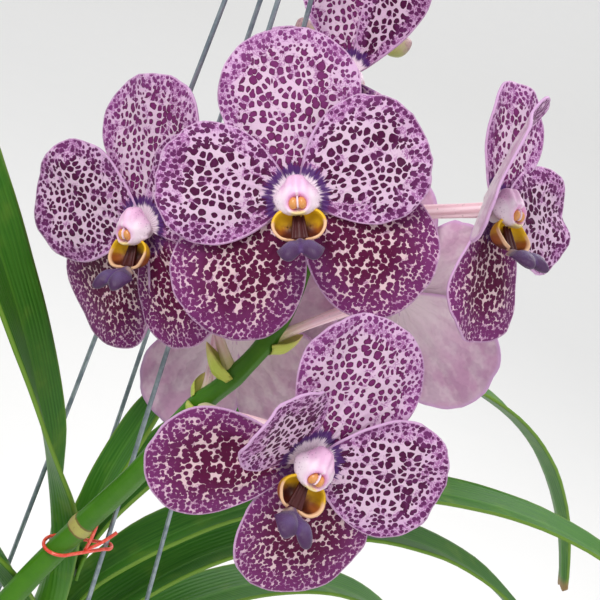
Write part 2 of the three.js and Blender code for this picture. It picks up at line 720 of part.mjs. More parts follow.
function makeTie() {
  const wire = vec(...wireAt(TIED_WIRE, TIE_Z));
  const stalk = spikePointAt(TIE_Z - 2);
  const across = wire.clone().sub(stalk).normalize();
  const side = across.clone().cross(vec(0, 0, 1)).normalize();
  const lift = side.clone().cross(across).normalize();
  const stalkLoop = SPIKE_RADIUS + 0.9 + GAP + TIE_RADIUS;
  const wireLoop = WIRE + GAP + TIE_RADIUS + 0.6;
  const pieces = [];
  const loopPoints = [];
  for (let turn = 60; turn <= 300; turn += 30) {
    const spot = stalk.clone().addScaledVector(across, stalkLoop * Math.cos(turn * DEG));
    loopPoints.push(spot.addScaledVector(side, stalkLoop * Math.sin(turn * DEG)).toArray());
  }
  for (let turn = -110; turn <= 110; turn += 44) {
    const spot = wire.clone().addScaledVector(across, wireLoop * Math.cos(turn * DEG));
    loopPoints.push(spot.addScaledVector(side, wireLoop * Math.sin(turn * DEG)).toArray());
  }
  const loop = new THREE.CatmullRomCurve3(loopPoints.map((p) => vec(...p)), true, "centripetal");
  pieces.push(ringRod(loop, 28, 5, TIE_RADIUS));
  const knot = stalk.clone().lerp(wire, 0.5).addScaledVector(side, 3.2);
  for (const [forward, up] of [[5, 9], [11, 5]]) {
    const end = knot.clone().addScaledVector(side, 3);
    end.addScaledVector(lift, up).addScaledVector(across, forward);
    const middle = knot.clone().lerp(end, 0.5).addScaledVector(side, 2);
    const bend = new THREE.QuadraticBezierCurve3(knot, middle, end);
    pieces.push(toSolid(rod(bend, 3, 5, () => TIE_RADIUS)));
  }
  addPiece("twist_tie", toGeometry(join(pieces)), TIE);
}

// A closed ring of round section along a closed curve.
function ringRod(curve, steps, sides, radius) {
  const frames = curve.computeFrenetFrames(steps, true);
  const points = [];
  const triangles = [];
  for (let i = 0; i < steps; i++) {
    const centre = curve.getPointAt(i / steps);
    for (let j = 0; j < sides; j++) {
      const turn = (2 * Math.PI * j) / sides;
      const point = centre.clone().addScaledVector(frames.normals[i], radius * Math.cos(turn));
      points.push(point.addScaledVector(frames.binormals[i], radius * Math.sin(turn)));
      const a = i * sides + j;
      const b = i * sides + ((j + 1) % sides);
      const c = ((i + 1) % steps) * sides + j;
      const d = ((i + 1) % steps) * sides + ((j + 1) % sides);
      triangles.push([a, b, d], [a, d, c]);
    }
  }
  return toSolid(closedMesh(points, triangles));
}

makeHanger();
makePot();
makeStem();
makeRoots();
makeBark();
LEAVES.forEach(makeLeaf);
makeSpike();
BLOOMS.forEach(makeBloom);
makeBuds();
makeTie();

export default root;
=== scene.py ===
"""Looks for a vanda-type orchid that hangs in a small clay pot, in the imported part's own frame.

Lengths in the making functions are millimetres, as in the part's source, and become metres at the end.
"""
import random
from math import atan2, copysign, cos, exp, hypot, pi, radians, sin, sqrt

import bmesh
import bpy
from bpy.props import FloatProperty, FloatVectorProperty, IntProperty, PointerProperty
from bpy.types import Operator, Panel, PropertyGroup
from mathutils import Matrix, Vector, noise


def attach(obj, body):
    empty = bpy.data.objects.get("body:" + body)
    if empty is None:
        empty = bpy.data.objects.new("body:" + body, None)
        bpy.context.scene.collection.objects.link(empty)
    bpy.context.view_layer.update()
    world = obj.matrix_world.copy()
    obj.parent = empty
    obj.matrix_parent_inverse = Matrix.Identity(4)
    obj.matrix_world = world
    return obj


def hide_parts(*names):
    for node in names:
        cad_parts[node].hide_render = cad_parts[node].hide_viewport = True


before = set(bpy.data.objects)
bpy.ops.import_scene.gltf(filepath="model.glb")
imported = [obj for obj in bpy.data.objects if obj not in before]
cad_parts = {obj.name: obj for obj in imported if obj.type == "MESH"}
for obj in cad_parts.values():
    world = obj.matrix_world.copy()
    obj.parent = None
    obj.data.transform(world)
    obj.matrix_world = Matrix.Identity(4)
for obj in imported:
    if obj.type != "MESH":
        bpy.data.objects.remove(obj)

bl_info = {
    "name": "Hanging Spotted Orchid",
    "version": (1, 0, 0),
    "blender": (4, 5, 0),
    "location": "View3D > Sidebar > Orchid",
    "description": "Makes the blooms, leaves, pot, hanger and stage of a hanging orchid",
    "category": "Object",
}

METRES = 0.001
UP = Vector((0, 0, 1))

# Sizes of the part's source, mm. Heights are counted from the inside top of the hook.

GAP = 0.3

# The hanger. SPREAD is a wire's way out for each mm down, and the tie holds the wire TIED_WIRE.

WIRE = 1.0
HOOK_WIRE = 1.5
HOOK_BEND = 9.5
SPREAD = 0.0611
WIRE_TURN = 17
GATHER_Z = -34
TIED_WIRE = 1
BINDING_FOOT = GATHER_Z - 5
BINDING_TOP = GATHER_Z + 11
BINDING_REACH = 4.0
BINDING_WIRE = 0.62
BINDING_CORE = 3.3
BINDING_STOPS = 68
BINDING_CLIMB = 0.23

# The pot and its fill

RIM_TOP = -690
RIM_HEIGHT = 14
RIM_RADIUS = 41
POT_HEIGHT = 85
POT_RADIUS = 37.5
POT_FOOT = 27.5
POT_WALL = 4
DRAIN_RADIUS = 6
FOOT_Z = RIM_TOP - POT_HEIGHT
POT_FLOOR = FOOT_Z + POT_WALL + 1
HOOP_Z = RIM_TOP - RIM_HEIGHT - GAP - WIRE
HOOP_RADIUS = POT_RADIUS + GAP + WIRE + 0.4
FILL_Z = RIM_TOP - 9
CHIP_SPANS = ((5, 12), (4, 8), (2, 3.4))
CHIP_TILT = 0.5
CHIP_RISE = 1.6
GOLDEN_ANGLE = 2.39996

# The stem and its leaves

STEM_TOP = -516
STEM_FOOT = -748
STEM_RADIUS = 6
STEM_LEAN = -9
SCAR_TOP = -672
SCAR_STEP = 16
LEAF_HALF_WIDTH = 14.5
LEAF_THICKNESS = 1.7
CLASP = 13
CLASP_RADIUS = STEM_RADIUS + LEAF_THICKNESS / 2 + GAP + 0.4
CLASP_ANGLE = radians(65)
LEAF_PACE = 1.25

# A bloom, in its own axes. Its tepals start at CLAW and bend at HINGE, both counted from its middle.

CLAW = 3
HINGE = 8
HUB_BACK = -2.2
HUB_SIZE = (4.3, 4.3, 2.6)
ANTHER_LOBE = (1.65, 2.1, 1.9)
ANTHER_PLACE = (1.45, -2.5, 11.0)
BEAK = (0.5, 2.2, 1.4)
BEAK_PLACE = (0, -2.2, 11.6)
CUP = (4.7, 4.9, 5.2)
CUP_PLACE = (3.9, -9.8, 9.6)
THROAT_WALL = 0.9

# The flower spike, its buds and the tie

SPIKE_RADIUS = 5.2
SPIKE_TIP_RADIUS = 1.6
SPIKE_JOINT = -479.6
PEDICEL_RADIUS = 1.9
BRACT_LENGTH = 17
BRACT_WALL = 0.5
BUD_STALK_RADIUS = 1.1
BUD_HEIGHT = 15
BUD_SHRINK = 0.18
TIE_RADIUS = 0.75
TIE_Z = -490

# How many steps the large grids have, and the shares that a line is searched by

LINE_SHARES = 400
TEPAL_ROWS = 30
TEPAL_COLUMNS = 60
LEAF_FINE = 96
LEAF_ROWS = 48
LEAF_COLUMNS = 14

# What the noise of a piece is shifted by for each step of its seed

NOISE_SHIFT = (7.3, 3.1, 5.7)
SPOT_SHIFT = (31.7, 17.3)

# Each leaf: base height, heading and rise at base and tip in degrees, length, width share, twist.
LEAVES = [
    (-516, (60, 40), (86, 60), 95, 0.62, 0),
    (-530, (62, 26), (54, -72), 470, 0.98, 0),
    (-545, (256, 153), (74, 43), 400, 1, 34),
    (-560, (57, 3), (34, -38), 450, 1, 0),
    (-575, (234, 195), (60, 2), 330, 1, 0),
    (-592, (56, 12), (46, -72), 450, 1, 0),
    (-607, (229, 186), (52, -34), 350, 1, 0),
    (-622, (62, 30), (40, -66), 380, 1, 0),
    (-637, (226, 194), (40, -62), 330, 0.97, 0),
    (-653, (66, 44), (34, -76), 320, 0.95, 0),
]

# Each root: bearing, height of its base, then reach and drop along its path.
ROOTS = [
    (205, -672, [(16, -12), (26, -22), (28, -40)]),
    (330, -664, [(18, -10), (27, -28), (24, -52)]),
    (95, -668, [(15, -14), (22, -26), (25, -44)]),
    (22, -657, [(22, 3), (38, -6), (50, -30), (53, -62), (50, -96)]),
    (150, -650, [(24, 2), (42, -10), (52, -36), (56, -70), (55, -104)]),
]
ROOT_RADIUS = 2.6

# Each bloom: its middle, its facing (bearing, rise, roll) and its tepals in the order dorsal,
# left petal, right petal, left lateral, right lateral. A tepal is (bearing from the dorsal, half
# angle of its fan, reach, lean, curl of the half after its bearing).
BLOOMS = [
    ((37, -70, -308), (0, 20, -24),
     [(0, 49, 60), (-77, 51, 50), (67, 55, 50), (-138, 50, 56), (129, 50, 55)]),
    ((-14, -37, -348), (-33, -1, -22),
     [(2, 50, 58), (-77, 50, 57), (58, 50, 48), (-134, 54, 60, -10), (150, 46, 50)]),
    ((104, -43, -295), (51, 27, 10),
     [(14, 40, 50, 3), (-68, 60, 54, 46, 0.7), (88, 52, 47, 0), (174, 50, 49, -6),
      (130, 40, 42, -40)]),
    ((71, -109.5, -381), (26, 8, 20),
     [(0, 52, 55), (-72, 51, 42, 36), (73, 50, 52), (-121, 40, 56, -6), (147, 57, 52)]),
    ((39, 5, -277), (-22, 5, -20),
     [(-14, 31, 56), (-84, 44, 44), (35, 25, 56, 11), (-145, 44, 46), (152, 40, 44)]),
    ((28, -13, -382), (161, -5, 26),
     [(0, 50, 52), (-74, 52, 46), (74, 50, 44), (-140, 50, 54), (140, 50, 54)]),
    ((85, -4, -350), (156, 1, 27),
     [(0, 50, 52), (-74, 52, 46), (74, 52, 46), (-140, 50, 54), (140, 50, 54)]),
]
PETALS = (1, 2)
LATERALS = (3, 4)

SPIKE_STOPS = [
    (-8, -10, -656), (-11, -25, -634), (-20, -42, -606), (-30, -49, -574), (-29, -48, -545),
    (-18, -40, -514), (-2.4, -36.7, -479.6), (13.6, -44.4, -442.3), (25.1, -51, -407.8),
    (36, -51.4, -388.3), (43.8, -45.2, -371.3), (47.1, -32.7, -357.5), (46.1, -2.7, -333.7),
    (42.9, 14.6, -321.3), (36.9, 36.5, -302), (30.4, 50, -281),
]

# Heights at which the pedicels leave the spike, and for each bud its height there and its stalk.
PEDICEL_Z = [-341, -388, -333, -404, -308, -401, -372]
BUD_STALKS = [(-296, (-15, 6, 16)), (-287, (16, 8, 15)), (-281.5, (-2, 10, 20))]
BUD_OUTLINE = [(0, 0), (2.2, 1.2), (5, 5), (5.4, 8), (3.8, 12), (1.4, 14.6), (0, BUD_HEIGHT)]

# Each twisted end of the tie: its reach towards the wire and its rise.
TIE_ENDS = [(2, 15), (11, 11)]

# The stage, in metres, with the sensor in mm. Each light: its place, what it looks at and its size.

STAGE_MIDDLE = (0.04, -0.05, -0.34)
KEY_LIGHT = ((-0.45, -0.85, 0.75), STAGE_MIDDLE, 0.6)
FILL_LIGHT = ((1.15, -0.8, -0.1), STAGE_MIDDLE, 1.2)
RIM_LIGHT = ((0.5, 0.9, 0.4), STAGE_MIDDLE, 0.8)
BACKDROP_LIGHT = ((0, 2.2, 3), (0, 5.5, -0.4), 3)
SKY_COLOUR = (0.93, 0.96, 1.0, 1)
FLOOR_HALF = 6
WALL_HEIGHT = 6
WALL_BEND = 2
CAMERA_PLACE = (0.050, -0.5322, -0.1746)
CAMERA_AXES = ((0.9397, -0.3420, 0), (0.1170, 0.3214, -0.9397), (0.3214, 0.8830, 0.3420))
SENSOR_WIDTH = 36

# Shader nodes. The sockets of a colour mix go by place, because their names stand there more than once.

MIX_FIRST, MIX_SECOND, MIX_RESULT = 6, 7, 2
CELL_RANDOMNESS = 0.88
NOISE_ROUGHNESS = 0.55

# Small sums


def lerp(a, b, t):
    return a + (b - a) * t


def ease(x, low, high):
    """0 up to low, 1 from high, and a smooth step between."""
    t = min(max((x - low) / (high - low), 0), 1)
    return t * t * (3 - 2 * t)


def rough(point, size, seed=0):
    """Smooth noise from -1 to 1 at a point, over blobs of a size in mm."""
    return noise.noise(Vector(point) / size + Vector(seed * shift for shift in NOISE_SHIFT))


def polar(reach, degrees, z=0.0):
    """A point by its reach from the Z axis and its bearing."""
    angle = radians(degrees)
    return Vector((reach * cos(angle), reach * sin(angle), z))


class Line:
    """A smooth line through stops, read by its share of the way along."""

    def __init__(self, stops, closed=False, fine=24):
        stops = [Vector(s) for s in stops]
        self.closed = closed
        self.points = self._dense(stops, closed, fine)
        self.marks = [0.0]
        for a, b in zip(self.points, self.points[1:]):
            self.marks.append(self.marks[-1] + (b - a).length)
        self.length = self.marks[-1]

    @staticmethod
    def _dense(stops, closed, fine):
        count = len(stops)
        if closed:
            stop = lambda i: stops[i % count]
            spans = count
        else:
            ends = {-1: stops[0] * 2 - stops[1], count: stops[-1] * 2 - stops[-2]}
            stop = lambda i: ends.get(i) or stops[i]
            spans = count - 1
        points = []
        for i in range(spans):
            p = [stop(i + k) for k in (-1, 0, 1, 2)]
            d = [sqrt((p[k + 1] - p[k]).length) or 1 for k in range(3)]
            leave = (p[1] - p[0]) / d[0] - (p[2] - p[0]) / (d[0] + d[1]) + (p[2] - p[1]) / d[1]
            reach = (p[2] - p[1]) / d[1] - (p[3] - p[1]) / (d[1] + d[2]) + (p[3] - p[2]) / d[2]
            leave *= d[1]
            reach *= d[1]
            for k in range(fine):
                t = k / fine
                points.append(
                    p[1] * (2 * t**3 - 3 * t**2 + 1) + leave * (t**3 - 2 * t**2 + t)
                    + p[2] * (3 * t**2 - 2 * t**3) + reach * (t**3 - t**2)
                )
        points.append(stop(spans).copy())
        return points

    def at(self, share):
        """The point at a share of the way along."""
        want = min(max(share, 0), 1) * self.length
        low, high = 0, len(self.marks) - 1
        while high - low > 1:
            middle = (low + high) // 2
            low, high = (middle, high) if self.marks[middle] <= want else (low, middle)
        span = self.marks[high] - self.marks[low] or 1
        return self.points[low].lerp(self.points[high], (want - self.marks[low]) / span)

    def share_at(self, z):
        """The share of the way along at which the line passes a height."""
        shares = [k / LINE_SHARES for k in range(LINE_SHARES + 1)]
        return min(shares, key=lambda share: abs(self.at(share).z - z))

    def frames(self, steps):
        """Middle, side and up for each of steps + 1 stations, with no twist between them."""
        found = []
        side = None
        for k in range(steps + 1):
            ahead = self.at((k + 0.5) / steps) if k < steps or not self.closed else self.at(0.5 / steps)
            behind = self.at((k - 0.5) / steps) if k or not self.closed else self.at(1 - 0.5 / steps)
            along = (ahead - behind).normalized()
            if side is None:
                side = Vector((along.z, 0.1, -along.x))
            side = (side - along * side.dot(along)).normalized()
            found.append((self.at(k / steps), side, along.cross(side)))
        return found


def bend(start, leave, arrive, end, fine=24):
    """A cubic bend between two points, as a line."""
    points = []
    for k in range(fine + 1):
        t = k / fine
        s = 1 - t
        points.append(start * s**3 + leave * (3 * s * s * t) + arrive * (3 * s * t * t) + end * t**3)
    return Line(points, fine=2)


# Meshes


def place_object(name, data):
    """A new object in the scene."""
    made = bpy.data.objects.new(name, data)
    bpy.context.collection.objects.link(made)
    return made


class Draft:
    """A mesh in the making, with the attributes that its material follows."""

    def __init__(self):
        self.mesh = bmesh.new()
        self.place = self.mesh.verts.layers.float_vector.new("place")
        self.kind = self.mesh.verts.layers.float_vector.new("kind")

    def grid(self, rows, columns, shape):
        """A grid whose corners shape(u, v) sends to (point, place, kind). U and v run from 0 to 1."""
        made = bmesh.ops.create_grid(self.mesh, x_segments=rows, y_segments=columns, size=0.5)
        verts = made["verts"]
        for vert in verts:
            point, place, kind = shape(vert.co.x + 0.5, vert.co.y + 0.5)
            vert.co = point
            vert[self.place] = place
            vert[self.kind] = kind
        return verts

    def ball(self, around, down):
        """The corners of a new ball of radius 1."""
        made = bmesh.ops.create_uvsphere(self.mesh, u_segments=around, v_segments=down, radius=1)
        return made["verts"]

    def tube(self, line, steps, sides, radius, kind=(0, 0, 0)):
        """A tube along a line. The radius is a number, or gives one for a share along and an angle round."""
        frames = line.frames(steps)
        if line.closed:
            frames[-1] = frames[0]

        def shape(u, v):
            middle, side, up = frames[round(u * steps)]
            turn = 2 * pi * v
            reach = radius(u, turn) if callable(radius) else radius
            point = middle + side * (reach * cos(turn)) + up * (reach * sin(turn))
            return point, (u, v, u * line.length), kind

        self.close(self.grid(steps, sides, shape))

    def close(self, verts):
        """Joins a rolled grid's seam and fills its open ends."""
        bmesh.ops.remove_doubles(self.mesh, verts=verts, dist=1e-4)
        rest = [vert for vert in verts if vert.is_valid]
        rim = list({edge for vert in rest for edge in vert.link_edges if edge.is_boundary})
        if rim:
            bmesh.ops.holes_fill(self.mesh, edges=rim, sides=0)

    def lathe(self, outline, steps):
        """A closed solid spun about Z from (radius, height) stops that start or end on the axis."""
        stops = [self.mesh.verts.new((max(r, 0), 0, z)) for r, z in outline]
        edges = [self.mesh.edges.new(pair) for pair in zip(stops, stops[1:])]
        bmesh.ops.spin(
            self.mesh, geom=stops + edges, cent=(0, 0, 0), axis=(0, 0, 1),
            angle=2 * pi, steps=steps, use_merge=True,
        )
        bmesh.ops.remove_doubles(self.mesh, verts=self.mesh.verts, dist=1e-4)
        for vert in self.mesh.verts:
            vert[self.place] = vert.co

    def move(self, matrix, verts=None):
        """Moves some of the corners, or all."""
        bmesh.ops.transform(self.mesh, matrix=matrix, verts=verts or self.mesh.verts)

    def finish(self, name, slot, materials, replaces, thickness=0.0, outward=True):
        """Makes the piece's object in metres, at the origin, riding on the body."""
        bmesh.ops.scale(self.mesh, vec=(METRES,) * 3, verts=self.mesh.verts)
        if outward:
            bmesh.ops.recalc_face_normals(self.mesh, faces=self.mesh.faces)
        for face in self.mesh.faces:
            face.smooth = True
        data = bpy.data.meshes.new(name)
        self.mesh.to_mesh(data)
        self.mesh.free()
        for paint in materials:
            data.materials.append(paint.material)
        piece = place_object(name, data)
        if thickness:
            wall = piece.modifiers.new("wall", "SOLIDIFY")
            wall.thickness = thickness
            wall.offset = 0
            wall.use_even_offset = False
            wall.material_offset = len(materials) - 1
            wall.material_offset_rim = len(materials) - 1
        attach(piece, "root")
        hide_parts(*replaces)


# Shader sums


class Value:
    """A shader socket that arithmetic can be written on."""

    def __init__(self, paint, socket):
        self.paint = paint
        self.socket = socket

    def combine(self, operation, *values):
        return self.paint.node("ShaderNodeMath", {"operation": operation}, dict(enumerate(values)))

    def __add__(self, other):
        return self.combine("ADD", self, other)

    def __sub__(self, other):
        return self.combine("SUBTRACT", self, other)

    def __rsub__(self, other):
        return self.combine("SUBTRACT", other, self)

    def __mul__(self, other):
        return self.combine("MULTIPLY", self, other)

    def __pow__(self, other):
        return self.combine("POWER", self, other)

    __radd__ = __add__
    __rmul__ = __mul__

    def smooth(self, low, high):
        """0 up to low, 1 from high, and a smooth step between."""
        inputs = {"Value": self, "From Min": low, "From Max": high}
        return self.paint.node("ShaderNodeMapRange", {"interpolation_type": "SMOOTHSTEP"}, inputs)

    def sine(self):
        return self.combine("SINE", self)

    def cosine(self):
        return self.combine("COSINE", self)

    def most(self, other):
        return self.combine("MAXIMUM", self, other)

    def least(self, other):
        return self.combine("MINIMUM", self, other)

    def size(self):
        return self.combine("ABSOLUTE", self)


class Paint:
    """One material, whose nodes are written as expressions."""

    def __init__(self, name, settings, **finish):
        self.settings = settings
        self.material = bpy.data.materials.new(name)
        self.material.use_nodes = True
        self.tree = self.material.node_tree
        self.shader = self.tree.nodes["Principled BSDF"]
        for key, number in finish.items():
            self.shader.inputs[key.replace("_", " ").title().replace("Ior", "IOR")].default_value = number

    def node(self, kind, options=None, inputs=None, output=0):
        """Adds a node, sets its options and inputs, and gives one of its outputs."""
        made = self.tree.nodes.new(kind)
        for key, option in (options or {}).items():
            setattr(made, key, option)
        for key, value in (inputs or {}).items():
            if isinstance(value, Value):
                self.tree.links.new(value.socket, made.inputs[key])
            else:
                made.inputs[key].default_value = value
        return Value(self, made.outputs[output])

    def attribute(self, name):
        """A vector attribute's three numbers."""
        vector = self.node("ShaderNodeAttribute", {"attribute_name": name}, output="Vector")
        return self.parts(vector)

    def parts(self, vector):
        split = self.node("ShaderNodeSeparateXYZ", inputs={0: vector}).socket.node
        return [Value(self, socket) for socket in split.outputs]

    def vector(self, x, y, z=0.0):
        return self.node("ShaderNodeCombineXYZ", inputs={0: x, 1: y, 2: z})

    def object_mm(self):
        """The place in the part's frame, in millimetres."""
        where = self.node("ShaderNodeTexCoord", output="Object")
        return self.node("ShaderNodeVectorMath", {"operation": "SCALE"}, {0: where, "Scale": 1000.0})

    def noise(self, where, size, detail=3.0):
        """Soft noise from 0 to 1 with blobs of a size."""
        inputs = {"Vector": where, "Scale": 1 / size, "Detail": detail, "Roughness": NOISE_ROUGHNESS}
        return self.node("ShaderNodeTexNoise", inputs=inputs)

    def cells(self, where, size, feature="DISTANCE_TO_EDGE", dimensions="2D"):
        """The way to the edge or the middle of uneven cells, in shares of their spacing."""
        options = {"feature": feature, "voronoi_dimensions": dimensions}
        inputs = {"Vector": where, "Scale": 1 / size, "Randomness": CELL_RANDOMNESS}
        return self.node("ShaderNodeTexVoronoi", options, inputs, "Distance")

    def spots(self, where, size, radius):
        """Depth inside round spots of uneven radius, in shares of the spacing; below 0 between them."""
        far = self.cells(where, size, "F1")
        chance = self.parts(Value(self, far.socket.node.outputs["Color"]))[0]
        return radius + (chance - 0.5) * 0.3 - far

    def warp(self, where, size, amount):
        """The place, pushed about by soft noise."""
        inputs = {"Vector": where, "Scale": 1 / size, "Detail": 1.0}
        push = self.node("ShaderNodeTexNoise", inputs=inputs, output="Color")
        inputs = {0: push, 1: (amount,) * 3, 2: where}
        return self.node("ShaderNodeVectorMath", {"operation": "MULTIPLY_ADD"}, inputs)

    def mix(self, factor, first, second):
        """Two colours, mixed. Each is a value, three numbers or the name of one in the settings."""
        inputs = {"Factor": factor, MIX_FIRST: self.colour(first), MIX_SECOND: self.colour(second)}
        return self.node("ShaderNodeMix", {"data_type": "RGBA"}, inputs, MIX_RESULT)

    def colour(self, colour):
        if isinstance(colour, str):
            colour = getattr(self.settings, f"{colour}_colour")
        return colour if isinstance(colour, Value) else (*colour, 1.0)

    def finish(self, colour, roughness=None, metallic=None, bump=None, depth=0.0005, strength=0.5):
        """Links what varies over the surface to the shader. The bump's depth is in metres."""
        links = {"Base Color": colour, "Roughness": roughness, "Metallic": metallic}
        if bump is not None:
            inputs = {"Height": bump, "Distance": depth, "Strength": strength}
            links["Normal"] = self.node("ShaderNodeBump", inputs=inputs)
        for name, value in links.items():
            if value is not None:
                self.tree.links.new(value.socket, self.shader.inputs[name])
        return self


# Blooms


def bloom_matrix(bloom):
    """Takes a bloom's own axes (X to its right, Y to the dorsal, Z out of its face) to the part's."""
    middle, (bearing, rise, roll), _ = bloom
    turn = Matrix.Rotation(radians(bearing), 4, "Z")
    turn = turn @ Matrix.Rotation(radians(90 - rise), 4, "X")
    return Matrix.Translation(middle) @ turn @ Matrix.Rotation(radians(-roll), 4, "Z")


def tepal_shape(part, tepal, seed):
    """A tepal's middle surface: shape(u, v) with u out from the claw and v across."""
    bearing, fan, long, *rest = tepal
    petal = part in PETALS
    lateral = part in LATERALS
    lean = radians(rest[0] if rest else (5 if petal else -3))
    cup = rest[1] if len(rest) > 1 else 0
    step, wave = (1.9, 1.2) if petal else (0, 0.9)
    turn = radians(bearing)

    def reach_at(side):
        return max(long * sqrt(max(0, 1 - abs(side) ** 2.3)), CLAW + 1.2)

    def shape(u, v):
        side = sin(pi * (0.5 - v))
        angle = radians(side * fan)
        reach = reach_at(side)
        bumps = 1.3 if petal else 0.8
        reach -= bumps * (0.8 + rough((side * fan / 6, 0, 0), 1, seed)) * ease(reach, CLAW + 4, long * 0.7)
        r = lerp(CLAW, reach, u)
        x, y = r * sin(angle), r * cos(angle)
        beyond = max(0, y - HINGE)
        away = ease(r, HINGE, 3 * HINGE)
        ripple = wave * u**3 * away * sin(3 * pi * side + bearing)
        curl = cup * max(0, x) ** 2 / long
        frill = rough((side * fan / 9, 0, 4), 1, seed)
        ripple += away * (0.7 * rough((x, y, 0), 9, seed) + 1.5 * u**4 * frill)
        groove = -0.45 * exp(-((x / 1.4) ** 2)) * ease(y, 5, 9)
        groove *= 1 - ease(y, 0.5 * long, 0.95 * long)
        out_y = min(y, HINGE) + beyond * cos(lean)
        out_z = step + curl + ripple + groove + beyond * sin(lean)
        point = Vector((
            x * cos(turn) + out_y * sin(turn),
            out_y * cos(turn) - x * sin(turn),
            out_z,
        ))
        slant = (reach_at(min(side + 0.01, 1)) - reach_at(max(side - 0.01, -1))) / 0.02
        slant /= max(r, 1) * radians(fan)
        edge = (reach - r) / sqrt(1 + slant * slant)
        arc = angle * max(r, 15)
        return point, (arc, r, edge), (lateral - petal, seed, angle)

    return shape


def make_tepals(settings):
    paints = [tepal_paint(settings), tepal_back_paint(settings)]
    for k, bloom in enumerate(BLOOMS):
        draft = Draft()
        for part, tepal in enumerate(bloom[2]):
            draft.grid(TEPAL_ROWS, TEPAL_COLUMNS, tepal_shape(part, tepal, 7 * k + part + 1))
        draft.move(bloom_matrix(bloom))
        add_hub(draft, bloom)
        name = f"bloom_{k + 1}_tepals"
        wall = settings.tepal_thickness
        draft.finish(f"{name}_fine", "tepal_spotted", paints, [name], wall, outward=False)


def add_hub(draft, bloom):
    """The flat ball in a bloom's middle, on which the tepals stand."""
    hub = draft.ball(24, 12)
    middle = Matrix.Translation((0, 0, HUB_BACK + HUB_SIZE[2]))
    draft.move(bloom_matrix(bloom) @ middle @ Matrix.Diagonal((*HUB_SIZE, 1)), hub)
    for vert in hub:
        vert[draft.place] = (0, CLAW, 6)
        vert[draft.kind] = (0, 1, 0)


def column_draft(bloom):
    """The column: a furrowed hood with two broad shoulders, a beak, and a two-lobed anther between."""
    draft = Draft()
    turn = Matrix.Rotation(radians(-90), 3, "X")
    for vert in draft.ball(48, 36):
        x, y, z = turn @ vert.co
        across = sqrt(max(1 - y * y, 1e-6))
        height = lerp(-6.6, 7.4, (y + 1) / 2)
        full = across**0.45
        half = full * lerp(8.0, 4.1, ease(height, -0.5, 6.5)) * lerp(0.78, 1, ease(height, -6.4, -3.5))
        half *= 1 + 0.05 * rough((0, height, x), 1.1, 5)
        deep = full * lerp(3.2, 4.4, ease(height, -5, 0))
        wide = x / across * half
        front = 8.2 + z / across * deep - 0.035 * wide * wide - 0.22 * height
        front += 0.35 * cos(1.9 * wide) * ease(height, 0.5, 3) * ease(z, 0, 0.4)
        near = hypot(wide / 3.0, (height + 2.6) / 2.9)
        rise = 0.9 * exp(-((near - 1.25) / 0.3) ** 2) - 2.6 * exp(-(near**4))
        front += rise * ease(z, 0, 0.4)
        front += 0.16 * rough((wide, height, front), 1.3, 3)
        vert.co = (wide, height, front)
        vert[draft.place] = vert.co
    for side in (-1, 1):
        for vert in draft.ball(24, 16):
            x, y, z = (at * half for at, half in zip(vert.co, ANTHER_LOBE))
            slant = 0.2 * side * x / ANTHER_LOBE[0]
            vert.co = (side * ANTHER_PLACE[0] + x, ANTHER_PLACE[1] + y - slant, ANTHER_PLACE[2] + z)
            vert[draft.place] = vert.co
            for face in vert.link_faces:
                face.material_index = 1
    for vert in draft.ball(20, 12):
        vert.co = [middle + at * half for middle, at, half in zip(BEAK_PLACE, vert.co, BEAK)]
        vert[draft.place] = vert.co
    draft.move(bloom_matrix(bloom))
    return draft


def throat_draft(bloom):
    """The lip's two cupped side lobes, which meet in the middle, and the ridged tongue in them."""
    draft = Draft()
    for side in (-1, 1):

        def cup(u, v):
            turn = 2 * pi * v
            outer = ease(cos(turn), -0.9, 0.3)
            low = ease(-sin(turn), -0.6, 0.6)
            open_angle = radians(lerp(2, lerp(62, 112, outer * lerp(0.55, 1, low)), u))
            out = sin(open_angle)
            x = CUP[0] * out * cos(turn)
            y = CUP[1] * out * sin(turn)
            z = -CUP[2] * cos(open_angle)
            roll = 0.5 * ease(u, 0.86, 1)
            x += roll * cos(turn)
            y += roll * sin(turn)
            z += 0.2 * u * sin(3 * turn + side)
            across, height, front = CUP_PLACE
            point = Vector((side * (across + x), height + y + 0.1 * z, front + z - 0.16 * y))
            return point, (x, y, u), (0, outer * low, 0)

        verts = draft.grid(20, 48, cup)
        bmesh.ops.remove_doubles(draft.mesh, verts=verts, dist=1e-3)

    def tongue(u, v):
        x = lerp(-2.6, 2.6, v)
        ridge = 0.35 * cos(x * 2.4) * (1 - 0.3 * u)
        point = Vector((x * lerp(0.7, 1.15, u), lerp(-6.4, -14.6, u), lerp(6.6, 9.8, u) + ridge))
        return point, (x, u * 8, 0.5), (1, 0, 0)

    draft.grid(16, 12, tongue)
    draft.move(bloom_matrix(bloom))
    return draft


def midlobe_draft(bloom):
    """The lip's midlobe: a velvety tongue that swells into two rounded lobes at its end."""
    draft = Draft()

    def tongue(u, v):
        turn = 2 * pi * v
        w = cos(turn)
        q = abs(w)
        if q < 0.5:
            end = 1 - 0.2 * (1 - 2 * q) ** 1.3
        else:
            end = sqrt(max(0, 1 - ((q - 0.5) / 0.52) ** 3))
        reach = u * lerp(1, max(end, 0.4), ease(u, 0.3, 1))
        half = lerp(3.2, 8.1, ease(u, 0.02, 0.5))
        tip = sqrt(max(0, 1 - (max(0, u - 0.7) / 0.3) ** 2))
        thick = (1.0 + 2.3 * ease(u, 0.15, 0.7) * sin(pi * q)) * tip * sin(turn)
        droop = -16 - 2 * reach - 2.6 * reach * reach + 0.8 * (1 - u) * cos(pi * w)
        sag = -1.3 * u * q * q
        point = Vector((half * w, droop + sag + thick, 9.8 + 13.2 * reach))
        return point, (half * w, 14 * reach, u), (sin(turn), 0, 0)

    draft.close(draft.grid(30, 56, tongue))
    draft.move(bloom_matrix(bloom))
    return draft


